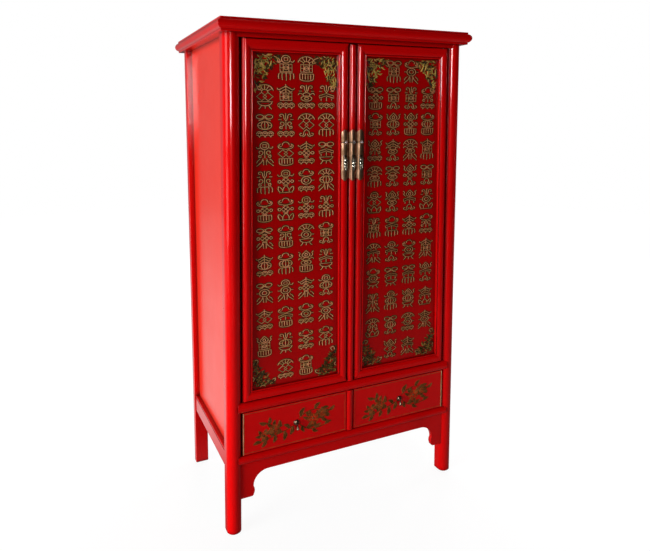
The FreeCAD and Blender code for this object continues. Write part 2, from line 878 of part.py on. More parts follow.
def staple(centre, span, depth_y, clearance):
    """A wire bent to a U that lies level: a bar across and two legs into the wood."""
    radius = hanger_wire_radius + clearance
    bend = hanger_wire_radius * 2
    inward = bend * (1 - math.sqrt(0.5))
    back_y = depth_y + clearance

    def at(x, forward_y):
        return Vector(centre.x + x, forward_y, centre.z)

    half = span / 2
    front_y = centre.y
    knee_y = front_y + bend
    path = [Part.makeLine(at(-half, back_y), at(-half, knee_y)),
            Part.Arc(at(-half, knee_y), at(-half + inward, front_y + inward),
                     at(-half + bend, front_y)).toShape(),
            Part.makeLine(at(-half + bend, front_y), at(half - bend, front_y)),
            Part.Arc(at(half - bend, front_y), at(half - inward, front_y + inward),
                     at(half, knee_y)).toShape(),
            Part.makeLine(at(half, knee_y), at(half, back_y))]
    section = Part.Wire(Part.makeCircle(radius, at(-half, back_y), Y_AXIS))
    return Part.Wire(path).makePipeShell([section], True, False)


def hanger(centre_x, crest, clearance):
    """The staple that a pendant hangs from."""
    centre = Vector(centre_x, hanger_y(crest), pendant_pivot_height)
    return staple(centre, hanger_span, crest + shank_depth, clearance)


def hardware_holes(centre_x, crest):
    """The holes that a lock eye and a hanger need in a plate and its stile."""
    return [eye_shank(centre_x, crest, shank_fit), hanger(centre_x, crest, shank_fit)]


def eye_and_hanger(centre_x, crest):
    return Part.makeCompound([lock_eye(centre_x, crest), hanger(centre_x, crest, 0)])


def barrel(centre, length, leaf):
    """A leaf with a rolled barrel at its top, bored for a staple's bar."""
    left = centre - X_AXIS * (length / 2)
    bore = rod(hanger_wire_radius + barrel_fit, left - X_AXIS * overrun, X_AXIS,
               length + 2 * overrun)
    return one_solid(rod(barrel_radius, left, X_AXIS, length).fuse(leaf).cut(bore))


def pendant(centre_x, crest):
    """A pierced leaf, broad above and pointed below, on a barrel."""
    centre = Vector(centre_x, hanger_y(crest), pendant_pivot_height)
    y = centre.y - pendant_thickness / 2
    neck, belly = pendant_neck_width / 2, pendant_width / 2
    shoulder_drop = pendant_belly_drop / 2

    def at(x, drop):
        return Vector(centre_x + x, y, pendant_pivot_height - drop)

    path = [at(-neck, 0), at(neck, 0), at(neck, barrel_radius),
            (at((neck + belly) / 2, shoulder_drop - barrel_radius), at(belly, pendant_belly_drop)),
            (at(belly * math.sqrt(0.5), (pendant_belly_drop + pendant_length) / 2),
             at(0, pendant_length)),
            (at(-belly * math.sqrt(0.5), (pendant_belly_drop + pendant_length) / 2),
             at(-belly, pendant_belly_drop)),
            (at(-(neck + belly) / 2, shoulder_drop - barrel_radius), at(-neck, barrel_radius))]
    leaf = outline_face(path).extrude(Y_AXIS * pendant_thickness)
    holes = [rod(pendant_hole_radius, at(0, drop) - Y_AXIS * overrun, Y_AXIS, 2 * overrun)
             for drop in pendant_hole_drops]
    return barrel(centre, barrel_length, leaf.cut(holes))


# Drawers

def drawer_outer_x():
    """The outer face of a drawer's outer side, clear of the leaning post's inner face."""
    return leaning_x(post_width, drawer_foot + drawer_side_height) - drawer_side_play


def pull_height():
    return (drawer_foot + drawer_head) / 2


def drawer_centre_x():
    """Where the pull sits: the middle of the drawer front at half its height."""
    return -(leaning_x(post_width + drawer_gap, pull_height()) + drawer_inner_x) / 2


def pull_staple(clearance):
    centre = Vector(drawer_centre_x(), drawer_face_y - pull_standoff, pull_height())
    return staple(centre, pull_span, drawer_face_y + shank_depth, clearance)


def drawer_front():
    corners = [(-leaning_x(post_width + drawer_gap, drawer_foot), drawer_foot),
               (-drawer_inner_x, drawer_foot), (-drawer_inner_x, drawer_head),
               (-leaning_x(post_width + drawer_gap, drawer_head), drawer_head)]
    front = board(corners, drawer_face_y, drawer_box_y)
    return one_solid(front.cut([pull_staple(shank_fit), drawer_bottom(panel_fit)]))


def drawer_sides():
    y_range = (drawer_box_y, drawer_box_y + drawer_length)
    z_range = (drawer_foot, drawer_foot + drawer_side_height)
    sides = []
    for x_low in (-drawer_outer_x(), -drawer_inner_x - drawer_side_thickness):
        side = box((x_low, x_low + drawer_side_thickness), y_range, z_range)
        sides.append(one_solid(side.cut(drawer_bottom(panel_fit))))
    return Part.makeCompound(sides)


def drawer_inner_range():
    return (-drawer_outer_x() + drawer_side_thickness, -drawer_inner_x - drawer_side_thickness)


def drawer_back():
    y_high = drawer_box_y + drawer_length
    z_range = (drawer_foot + drawer_bottom_rise + drawer_bottom_thickness,
               drawer_foot + drawer_side_height - drawer_back_drop)
    return box(drawer_inner_range(), (y_high - drawer_side_thickness, y_high), z_range)


def drawer_bottom(clearance):
    x_low, x_high = drawer_inner_range()
    reach = drawer_tongue + clearance
    z_low = drawer_foot + drawer_bottom_rise
    return box((x_low - reach, x_high + reach),
               (drawer_box_y - reach, drawer_box_y + drawer_length),
               (z_low - clearance, z_low + drawer_bottom_thickness))


def pull_rose():
    """A domed rose and the staple through it."""
    sphere_radius = (rose_radius * rose_radius + rose_dome * rose_dome) / (2 * rose_dome)
    centre = Vector(drawer_centre_x(), drawer_face_y, pull_height())
    rim = rod(rose_radius, centre - Y_AXIS * rose_rim, Y_AXIS, rose_rim)
    ball = Part.makeSphere(sphere_radius, centre + Y_AXIS * (sphere_radius - rose_dome - rose_rim))
    dome = ball.common(rod(rose_radius, centre - Y_AXIS * overrun, Y_AXIS, overrun - rose_rim))
    rose = one_solid(rim.fuse(dome).cut(pull_staple(shank_fit)))
    return Part.makeCompound([rose, pull_staple(0)])


def pull_drop():
    """A turned teardrop under a barrel."""
    centre = Vector(drawer_centre_x(), drawer_face_y - pull_standoff, pull_height())

    def at(radius, drop):
        return centre + X_AXIS * radius - Z_AXIS * drop

    belly_drop = drop_length - drop_radius
    slant = drop_radius * math.sqrt(0.5)
    profile = [at(0, barrel_radius / 2), at(drop_neck_radius, barrel_radius / 2),
               at(drop_neck_radius, 2 * barrel_radius),
               (at(drop_waist_radius, (2 * barrel_radius + belly_drop) / 2), at(drop_radius, belly_drop)),
               (at(slant, belly_drop + slant), at(0, drop_length))]
    teardrop = outline_face(profile).revolve(centre, Z_AXIS, 360)
    return barrel(centre, pull_barrel_length, teardrop)


# All pieces by name

def fixed_nodes():
    front, back = front_post(), back_post()
    bracket = apron_bracket()
    panel, rail = one_solid(side_panel(0)), side_rail()
    return {
        "post_front_left": front, "post_front_right": mirrored(front),
        "post_back_left": back, "post_back_right": mirrored(back),
        "cornice_front": cornice_member(0), "cornice_right": cornice_member(1),
        "cornice_back": cornice_member(2), "cornice_left": cornice_member(3),
        "top_panel": top_panel(),
        "head_rail_front": head_rail(),
        "head_rail_back": back_rail(cornice_bottom - back_head_rail_height, cornice_bottom),
        "mid_rail": mid_rail(),
        "lower_rail_front": lower_rail(),
        "lower_rail_back": back_rail(lower_rail_bottom, lower_rail_top),
        "side_rail_left": rail, "side_rail_right": mirrored(rail),
        "side_panel_left": panel, "side_panel_right": mirrored(panel),
        "back_panel": back_panel(0),
        "apron": apron(),
        "apron_bracket_left": bracket, "apron_bracket_right": mirrored(bracket),
        "cabinet_floor": cabinet_floor(),
        "shelf": shelf(),
        "side_bearers": side_bearers(),
        "drawer_case_floor": drawer_case_floor(),
        "drawer_runners": drawer_runners(),
        "drawer_divider": drawer_divider(),
    }


def centre_stile_nodes():
    crest = y_front + centre_stile_crest
    rise = centre_stile_shoulder - centre_stile_crest
    radius = (half_stile * half_stile + rise * rise) / (2 * rise)
    return {
        "centre_stile": centre_stile(),
        "centre_stile_plate": brass_plate(0, crest, (radius, radius)),
        "centre_stile_eyes": eye_and_hanger(0, crest),
        "centre_pendant": pendant(0, crest),
    }


def left_door_nodes():
    return {
        "door_left_foot_rail": door_rail(0),
        "door_left_meeting_stile": meeting_stile(),
        "door_left_head_rail": door_rail(2),
        "door_left_hinge_stile": hinge_stile(),
        "door_left_panel": door_panel(0),
        "door_left_plate": brass_plate(-plate_line, crest_y, (crown_radius(), door_edge_radius)),
        "door_left_eyes": eye_and_hanger(-plate_line, crest_y),
        "door_left_pendant": pendant(-plate_line, crest_y),
    }


def left_drawer_nodes():
    return {
        "drawer_left_front": drawer_front(),
        "drawer_left_sides": drawer_sides(),
        "drawer_left_back": drawer_back(),
        "drawer_left_bottom": drawer_bottom(0),
        "drawer_left_rose": pull_rose(),
        "drawer_left_drop": pull_drop(),
    }


nodes = {**fixed_nodes(), **centre_stile_nodes()}
for name, shape in {**left_door_nodes(), **left_drawer_nodes()}.items():
    nodes[name] = shape
    nodes[name.replace("left", "right")] = mirrored(shape)

os.makedirs("parts", exist_ok=True)
for name, shape in nodes.items():
    shape.exportStep(f"parts/{name}.step")
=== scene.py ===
import math
import random

import bpy
from mathutils import Matrix, Vector


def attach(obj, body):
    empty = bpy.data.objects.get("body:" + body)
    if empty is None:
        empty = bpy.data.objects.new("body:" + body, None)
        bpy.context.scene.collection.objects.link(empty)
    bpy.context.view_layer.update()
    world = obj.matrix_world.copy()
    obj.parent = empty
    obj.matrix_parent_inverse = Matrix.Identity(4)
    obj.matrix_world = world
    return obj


# Looks for the wedding cabinet: lacquer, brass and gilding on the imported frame.
# Metres, in the frame's own axes. Sizes that belong to drawn ornaments are in millimetres.

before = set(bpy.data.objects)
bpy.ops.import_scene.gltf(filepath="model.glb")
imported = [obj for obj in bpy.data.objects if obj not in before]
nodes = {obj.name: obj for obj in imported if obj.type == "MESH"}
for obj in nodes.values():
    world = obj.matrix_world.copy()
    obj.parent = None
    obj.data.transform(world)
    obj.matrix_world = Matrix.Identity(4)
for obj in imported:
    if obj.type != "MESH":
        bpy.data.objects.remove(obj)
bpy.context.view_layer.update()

MM = 0.001

# The cabinet's sizes that the ornaments follow, as they are in the model, in millimetres
half_feet = 524.0
lean_share = 0.04
post_face_y = -302.0
door_panel_y = post_face_y + 16.0
drawer_face_y = post_face_y + 7.0
panel_top = 1755.5
panel_foot = 589.0
hinge_side_inset = 96.0
meeting_side_x = 53.0
drawer_foot = 331.5
drawer_head = 505.5
drawer_inner_x = 16.5
drawer_outer_inset = 58.5
pull_x = 232.6
pull_z = 418.5
hanger_z = 1422.02
plate_groove_z = hanger_z + 47.0
# Half the height of the black band across the lock plates at the groove, wider than the groove: a painted
# shadow.
plate_shadow_half_height = 2.3
plate_x = 31.0
door_pendant_y = post_face_y - 2.75
centre_pendant_y = door_pendant_y - 1.0
pendant_length = 54.0
pendant_belly_drop = 20.0
pendant_thickness = 2.4
pendant_neck, pendant_belly = 3.5, 7.5
pendant_hole_drops = (15.0, 26.0, 37.0)


# Material nodes

def make_node(tree, kind, inputs=None, **settings):
    """A node with its settings, whose inputs take values or other nodes' sockets."""
    made = tree.nodes.new(kind)
    for name, value in settings.items():
        setattr(made, name, value)
    for name, value in (inputs or {}).items():
        if isinstance(value, bpy.types.NodeSocket):
            tree.links.new(value, made.inputs[name])
        else:
            made.inputs[name].default_value = value
    return made


def new_material(name):
    material = bpy.data.materials.new(name)
    material.use_nodes = True
    tree = material.node_tree
    return material, tree, tree.nodes["Principled BSDF"]


def object_coordinates(tree, stretch=(1, 1, 1)):
    """Coordinates in metres that move with the piece, scaled along each axis."""
    source = make_node(tree, "ShaderNodeTexCoord").outputs["Object"]
    return make_node(tree, "ShaderNodeMapping", {"Vector": source, "Scale": stretch}).outputs["Vector"]


def noise(tree, coordinates, scale, detail, distortion=0.0):
    return make_node(tree, "ShaderNodeTexNoise",
                     {"Vector": coordinates, "Scale": scale, "Detail": detail,
                      "Distortion": distortion}).outputs["Fac"]


def remap(tree, value, low, high, new_low=0.0, new_high=1.0):
    return make_node(tree, "ShaderNodeMapRange",
                     {"Value": value, "From Min": low, "From Max": high,
                      "To Min": new_low, "To Max": new_high}).outputs["Result"]


def mix_colours(tree, share, first, second):
    mixer = make_node(tree, "ShaderNodeMix", data_type="RGBA")
    for socket, value in ((mixer.inputs[0], share), (mixer.inputs[6], first), (mixer.inputs[7], second)):
        if isinstance(value, bpy.types.NodeSocket):
            tree.links.new(value, socket)
        else:
            socket.default_value = value if isinstance(value, float) else (*value, 1)
    return mixer.outputs[2]


def maths(tree, operation, first, second=0.0):
    """The result of one step of arithmetic on values or sockets."""
    return make_node(tree, "ShaderNodeMath", {0: first, 1: second}, operation=operation).outputs[0]


def multiply(tree, first, second):
    return maths(tree, "MULTIPLY", first, second)


def crevices(tree, distance):
    """One in narrow corners and zero on open faces; colours mixed by it get painted shade there."""
    occlusion = make_node(tree, "ShaderNodeAmbientOcclusion", {"Distance": distance}, samples=8)
    return remap(tree, occlusion.outputs["AO"], 0.92, 0.3)


def worn_edges(tree, radius):
    """One along outer edges and zero on flat faces, and the rounded normal that it is found from."""
    rounded = make_node(tree, "ShaderNodeBevel", {"Radius": radius}, samples=4).outputs["Normal"]
    plain = make_node(tree, "ShaderNodeNewGeometry").outputs["Normal"]
    turned = make_node(tree, "ShaderNodeVectorMath", {0: rounded, 1: plain}, operation="DOT_PRODUCT")
    return remap(tree, turned.outputs["Value"], 0.97, 0.8), rounded


def connect(tree, shader, **sockets):
    """Sets the shader's inputs; a name such as base_color stands for the input Base Color."""
    for name, value in sockets.items():
        target = shader.inputs[name.replace("_", " ").title()]
        if isinstance(value, bpy.types.NodeSocket):
            tree.links.new(value, target)
        else:
            target.default_value = value


# Materials

rubbed_colour = (0.16, 0.028, 0.014)
# Near-black red that the lacquer's corners are darkened to: painted shade.
lacquer_painted_shade_colour = (0.035, 0.0, 0.0)
# Dark brown that the wood's corners are darkened to: painted shade.
wood_painted_shade_colour = (0.03, 0.012, 0.008)
# Near black that brass hollows are darkened to: dirt and painted shade.
brass_dirt_and_shade_colour = (0.02, 0.014, 0.008)
# Near black of the band across the lock plates: painted shadow.
painted_shadow_colour = (0.008, 0.005, 0.003)
lacquer_shine_tint = (1.0, 0.12, 0.1, 1)
clear_coat_ior = 1.42
paint_shine = 0.16


def lacquer(name, colour, deep_colour, stretch, roughness=(0.26, 0.38), ior=1.3, coat_roughness=0.1):
    """Red lacquer over wood: clouded colour, faint grain, painted shade in corners, rubbed edges and clear
    coat.
    """
    material, tree, shader = new_material(name)
    metres = object_coordinates(tree)
    along_grain = object_coordinates(tree, stretch)
    clouds = noise(tree, metres, 5.0, 4.0)
    grain = noise(tree, along_grain, 60.0, 5.0, 0.4)
    specks = noise(tree, metres, 420.0, 1.0)
    clouded = mix_colours(tree, remap(tree, clouds, 0.3, 0.7, 0.0, 0.35), colour, deep_colour)
    grained = mix_colours(tree, remap(tree, grain, 0.45, 0.75, 0.0, 0.16), clouded, deep_colour)
    speckled = mix_colours(tree, remap(tree, specks, 0.74, 0.82, 0.0, 0.4), grained, deep_colour)
    edges, rounded = worn_edges(tree, 1.5 * MM)
    rubbed = multiply(tree, edges, remap(tree, noise(tree, metres, 38.0, 4.0), 0.5, 0.7, 0.0, 0.4))
    edged = mix_colours(tree, rubbed, speckled, rubbed_colour)
    # Corners and narrow gaps are darkened: painted shade.
    corners = multiply(tree, crevices(tree, 24 * MM), 0.85)
    shaded = mix_colours(tree, corners, edged, lacquer_painted_shade_colour)
    waves = noise(tree, metres, 26.0, 2.0)
    surface = make_node(tree, "ShaderNodeBump",
                        {"Strength": 0.12, "Distance": 1.2 * MM, "Height": waves, "Normal": rounded})
    fine = make_node(tree, "ShaderNodeBump",
                     {"Strength": 0.1, "Distance": 0.25 * MM, "Height": grain,
                      "Normal": surface.outputs["Normal"]})
    connect(tree, shader, base_color=shaded, roughness=remap(tree, clouds, 0.3, 0.7, *roughness),
            normal=fine.outputs["Normal"], coat_normal=surface.outputs["Normal"])
    shader.inputs["IOR"].default_value = ior
    shader.inputs["Specular Tint"].default_value = lacquer_shine_tint
    shader.inputs["Coat Weight"].default_value = 1.0
    shader.inputs["Coat Roughness"].default_value = coat_roughness
    shader.inputs["Coat IOR"].default_value = clear_coat_ior
    return material


def stained_wood(name, colour, dark_colour, stretch):
    """Bare wood under a thin wash: long grain, pores and painted shade in corners."""
    material, tree, shader = new_material(name)
    metres = object_coordinates(tree)
    along_grain = object_coordinates(tree, stretch)
    figure = noise(tree, along_grain, 14.0, 6.0, 1.2)
    pores = noise(tree, along_grain, 150.0, 3.0)
    washed = mix_colours(tree, remap(tree, figure, 0.35, 0.7), colour, dark_colour)
    pored = mix_colours(tree, remap(tree, pores, 0.6, 0.8, 0.0, 0.5), washed, dark_colour)
    stained = mix_colours(tree, remap(tree, noise(tree, metres, 3.0, 3.0), 0.4, 0.7, 0.0, 0.4),
                          pored, dark_colour)
    # Corners are darkened: painted shade.
    corners = multiply(tree, crevices(tree, 14 * MM), 0.6)
    shaded = mix_colours(tree, corners, stained, wood_painted_shade_colour)
    rounded = make_node(tree, "ShaderNodeBevel", {"Radius": 1.2 * MM}, samples=4).outputs["Normal"]
    surface = make_node(tree, "ShaderNodeBump",
                        {"Strength": 0.35, "Distance": 0.4 * MM, "Height": pores, "Normal": rounded})
    connect(tree, shader, base_color=shaded, roughness=remap(tree, figure, 0.3, 0.7, 0.55, 0.75),
            normal=surface.outputs["Normal"])
    return material


def level_band(tree, metres, middle_z, half_height):
    """One on a level band about a height and zero away from it; sizes are in millimetres."""
    height = make_node(tree, "ShaderNodeSeparateXYZ", {"Vector": metres}).outputs["Z"]
    away = maths(tree, "ABSOLUTE", maths(tree, "SUBTRACT", height, middle_z * MM))
    edge = half_height * MM
    return remap(tree, away, edge, 0.6 * edge)


def aged_brass(name, colour, tarnish, roughness, shadow_z=None):
    """Brass with patches of tarnish, fine upright scratches, dirt and painted shade in its hollows and, at
    a given height, a black band of painted shadow.
    """
    material, tree, shader = new_material(name)
    metres = object_coordinates(tree)
    patches = noise(tree, metres, 55.0, 5.0)
    scratches = noise(tree, object_coordinates(tree, (1, 1, 0.12)), 700.0, 2.0)
    tarnished = mix_colours(tree, remap(tree, patches, 0.38, 0.66), colour, tarnish)
    # Hollows darken towards near black: dirt and painted shade.
    dirty_and_shaded = mix_colours(tree, crevices(tree, 3 * MM), tarnished, brass_dirt_and_shade_colour)
    # A black band about the groove's height: painted shadow.
    if shadow_z:
        groove_shadow = level_band(tree, metres, shadow_z, plate_shadow_half_height)
        dirty_and_shaded = mix_colours(tree, groove_shadow, dirty_and_shaded, painted_shadow_colour)
    rounded = make_node(tree, "ShaderNodeBevel", {"Radius": 0.4 * MM}, samples=4).outputs["Normal"]
    surface = make_node(tree, "ShaderNodeBump",
                        {"Strength": 0.25, "Distance": 0.15 * MM, "Height": scratches, "Normal": rounded})
    connect(tree, shader, base_color=dirty_and_shaded, roughness=remap(tree, patches, 0.35, 0.65, *roughness),
            normal=surface.outputs["Normal"])
    shader.inputs["Metallic"].default_value = 1.0
    return material


def brushed_paint(name, colour, second_colour):
    """Paint or gold powder put on with a fine brush, in two tones with fine dark grit."""
    material, tree, shader = new_material(name)
    metres = object_coordinates(tree)
    tone = noise(tree, metres, 45.0, 3.0)
    grit = noise(tree, metres, 900.0, 2.0)
    mixed = mix_colours(tree, remap(tree, tone, 0.36, 0.64), colour, second_colour)
    dark_grit = tuple(part * 0.35 for part in second_colour)
    gritty = mix_colours(tree, remap(tree, grit, 0.6, 0.75, 0.0, 0.45), mixed, dark_grit)
    surface = make_node(tree, "ShaderNodeBump", {"Strength": 0.3, "Distance": 0.2 * MM, "Height": grit})
    connect(tree, shader, base_color=gritty, roughness=remap(tree, grit, 0.3, 0.7, 0.4, 0.6),
            normal=surface.outputs["Normal"])
    shader.inputs["Specular IOR Level"].default_value = paint_shine
    return material


# Scales of the coordinates, which draw the grain out along one axis
upright = (1, 1, 0.06)
crosswise = (0.06, 1, 1)
front_to_back = (1, 0.06, 1)

red, deep_red = (0.68, 0.001, 0.0015), (0.47, 0.0005, 0.001)
lacquer_upright = lacquer("red_lacquer_upright", red, deep_red, upright)
lacquer_crosswise = lacquer("red_lacquer_crosswise", red, deep_red, crosswise)
lacquer_endwise = lacquer("red_lacquer_front_to_back", red, deep_red, front_to_back)
# The front's lacquer made lighter and pinker for the sides: painted light.
side_lacquer_painted_light = lacquer("red_lacquer_side", (0.78, 0.032, 0.014), (0.70, 0.022, 0.010), upright,
                       (0.3, 0.42), 1.2, 0.22)
lacquer_panel = lacquer("red_lacquer_door_panel", (0.48, 0.0005, 0.001), (0.28, 0.0005, 0.001), upright)
# A little lighter than the frame's lacquer: painted light on the drawers.
drawer_lacquer_painted_light = lacquer("red_lacquer_drawer", (0.72, 0.001, 0.0015), (0.48, 0.0005, 0.001), crosswise)
wash, deep_wash = (0.36, 0.10, 0.055), (0.17, 0.045, 0.026)
wood_upright = stained_wood("washed_wood_upright", wash, deep_wash, upright)
wood_crosswise = stained_wood("washed_wood_crosswise", wash, deep_wash, crosswise)
wood_endwise = stained_wood("washed_wood_front_to_back", wash, deep_wash, front_to_back)
brass = aged_brass("aged_brass", (0.50, 0.29, 0.18), (0.27, 0.145, 0.075), (0.34, 0.5), plate_groove_z)
bright_brass = aged_brass("bright_brass", (0.90, 0.86, 0.74), (0.66, 0.56, 0.42), (0.2, 0.36))
dark_brass = aged_brass("dark_brass", (0.22, 0.16, 0.09), (0.07, 0.05, 0.03), (0.24, 0.4))
black_brass = aged_brass("black_brass", (0.46, 0.31, 0.21), (0.14, 0.09, 0.055), (0.26, 0.42))
lock_metal = aged_brass("lock_metal", (0.98, 0.92, 0.93), (0.66, 0.60, 0.62), (0.2, 0.34))
gilt_line = brushed_paint("gilt_line", (0.76, 0.32, 0.155), (0.50, 0.25, 0.08))
# The left door's gilt made darker for the right door: painted shade.
painted_shade_gilt_line = brushed_paint("painted_shade_gilt_line", (0.54, 0.20, 0.09), (0.34, 0.15, 0.05))
gilt_shadow = brushed_paint("gilt_shadow", (0.050, 0.012, 0.002), (0.028, 0.012, 0.002))
olive_gilt = brushed_paint("olive_gilt", (0.62, 0.40, 0.09), (0.30, 0.20, 0.035))
olive_shade = brushed_paint("olive_shade", (0.26, 0.15, 0.03), (0.13, 0.08, 0.016))
leaf_green = brushed_paint("leaf_green", (0.060, 0.042, 0.007), (0.026, 0.024, 0.004))
leaf_brown = brushed_paint("leaf_brown", (0.15, 0.042, 0.005), (0.050, 0.024, 0.003))
leaf_edge = brushed_paint("leaf_edge", (0.28, 0.09, 0.025), (0.14, 0.05, 0.010))
petal_gold = brushed_paint("petal_gold", (0.56, 0.09, 0.012), (0.42, 0.028, 0.005))
border_gilt = brushed_paint("border_gilt", (0.34, 0.12, 0.03), (0.20, 0.05, 0.015))
# Gilt on the drawers' outer edges, made pale: partly a painted highlight.
edge_gilt_and_highlight = brushed_paint("edge_gilt_and_highlight", (0.72, 0.50, 0.27), (0.50, 0.30, 0.13))


def node_material(name):
    """The finish of a CAD node, with its grain along its length."""
    if name.endswith("_plate"):
        return brass
    if name.endswith("_eyes"):
        return lock_metal
    if name.endswith("_pendant"):
        return dark_brass
    if name.endswith(("_rose", "_drop")):
        return black_brass
    if name.startswith("side_panel"):
        return side_lacquer_painted_light
    if name in ("door_left_panel", "door_right_panel"):
        return lacquer_panel
    if name in ("drawer_left_front", "drawer_right_front"):
        return drawer_lacquer_painted_light
    if name == "back_panel":
        return wood_upright
    if name in ("cabinet_floor", "shelf", "drawer_case_floor", "lower_rail_back", "head_rail_back",
                "drawer_left_back", "drawer_right_back"):
        return wood_crosswise
    if name in ("side_bearers", "drawer_runners") or name.endswith(("_sides", "_bottom")):
        return wood_endwise
    if name.startswith("side_rail") or name in ("cornice_left", "cornice_right"):
        return lacquer_endwise
    if "rail" in name or name.startswith(("apron", "cornice", "top_panel")):
        return lacquer_crosswise
    return lacquer_upright


for name, piece in nodes.items():
    piece.data.materials.clear()
    piece.data.materials.append(node_material(name))


# Drawn lines, in millimetres on an upright face

arc_step_degrees = 18
curl_step_degrees = 24


def arc(x, z, radius_x, radius_z, start, end):
    """Points along an ellipse; angles are in degrees, from the right and turning upwards."""
    steps = max(3, round(abs(end - start) / arc_step_degrees))
    angles = [math.radians(start + (end - start) * step / steps) for step in range(steps + 1)]
    return [(x + radius_x * math.cos(angle), z + radius_z * math.sin(angle)) for angle in angles]


def ring(x, z, radius_x, radius_z=None):
    """A closed ellipse, or a circle where one radius is given."""
    return arc(x, z, radius_x, radius_z or radius_x, 90, 450)


def curl(x, z, radius, start, turn):
    """A spiral about a point, from its outer end inwards."""
    last_share = 0.35
    steps = max(4, round(abs(turn) / curl_step_degrees))
    points = []
    for step in range(steps + 1):
        share = step / steps
        reach = radius * (1 - (1 - last_share) * share)
        angle = math.radians(start + turn * share)
        points.append((x + reach * math.cos(angle), z + reach * math.sin(angle)))
    return points


def both(*strokes):
    """The strokes and their mirror images about the middle."""
    return list(strokes) + [[(-x, z) for x, z in stroke] for stroke in strokes]


def smooth(points, steps=5):
    """A curve through a few points."""
    curve = []
    for index in range(len(points) - 1):
        before = points[max(index - 1, 0)]
        start, end = points[index], points[index + 1]
        after = points[min(index + 2, len(points) - 1)]
        for step in range(steps):
            t = step / steps
            weights = (-t + 2 * t * t - t ** 3, 2 - 5 * t * t + 3 * t ** 3,
                       t + 4 * t * t - 3 * t ** 3, -t * t + t ** 3)
            ends = (before, start, end, after)
            curve.append(tuple(sum(w * p[axis] for w, p in zip(weights, ends)) / 2 for axis in (0, 1)))
    return curve + [points[-1]]


# Reliefs

# Levels above the face; hidden edges lie a little below it, so that no slit shows under them
sunk = -0.2
sunk_foot = -0.3
skirt_rise = 0.05

# A path whose ends are nearer than this is closed
same_place = 0.01


def across_path(path, index, closed):
    """The unit vector across a path at one of its points."""
    count = len(path)
    before = path[index - 1] if closed or index else path[index]
    after = path[(index + 1) % count] if closed or index < count - 1 else path[index]
    run_x, run_z = after[0] - before[0], after[1] - before[1]
    length = math.hypot(run_x, run_z) or 1.0
    return -run_z / length, run_x / length


def ribbon_profile(half, foot, skirt, height, low):
    """A bevelled cross-section as (reach, rise) pairs, with a skirt on each side if there is one."""
    profile = [(half + foot, low), (half, height), (-half, height), (-half - foot, low)]
    if skirt:
        profile = [(half + foot + skirt, skirt_rise), *profile, (-half - foot - skirt, skirt_rise)]
    return profile


def ribbon_faces(count, closed, strips, cap_finish):
    """The faces between a ribbon's cross-sections, with a cap on each open end, and their finishes."""
    sides = len(strips)
    faces, finishes = [], []
    for index in range(count if closed else count - 1):
        here, there = sides * index, sides * ((index + 1) % count)
        for side, finish in enumerate(strips):
            following = (side + 1) % sides
            faces.append((here + side, here + following, there + following, there + side))
            finishes.append(finish)
    if not closed:
        last = sides * (count - 1)
        faces += [tuple(reversed(range(sides))), tuple(last + side for side in range(sides))]
        finishes += [cap_finish, cap_finish]
    return faces, finishes


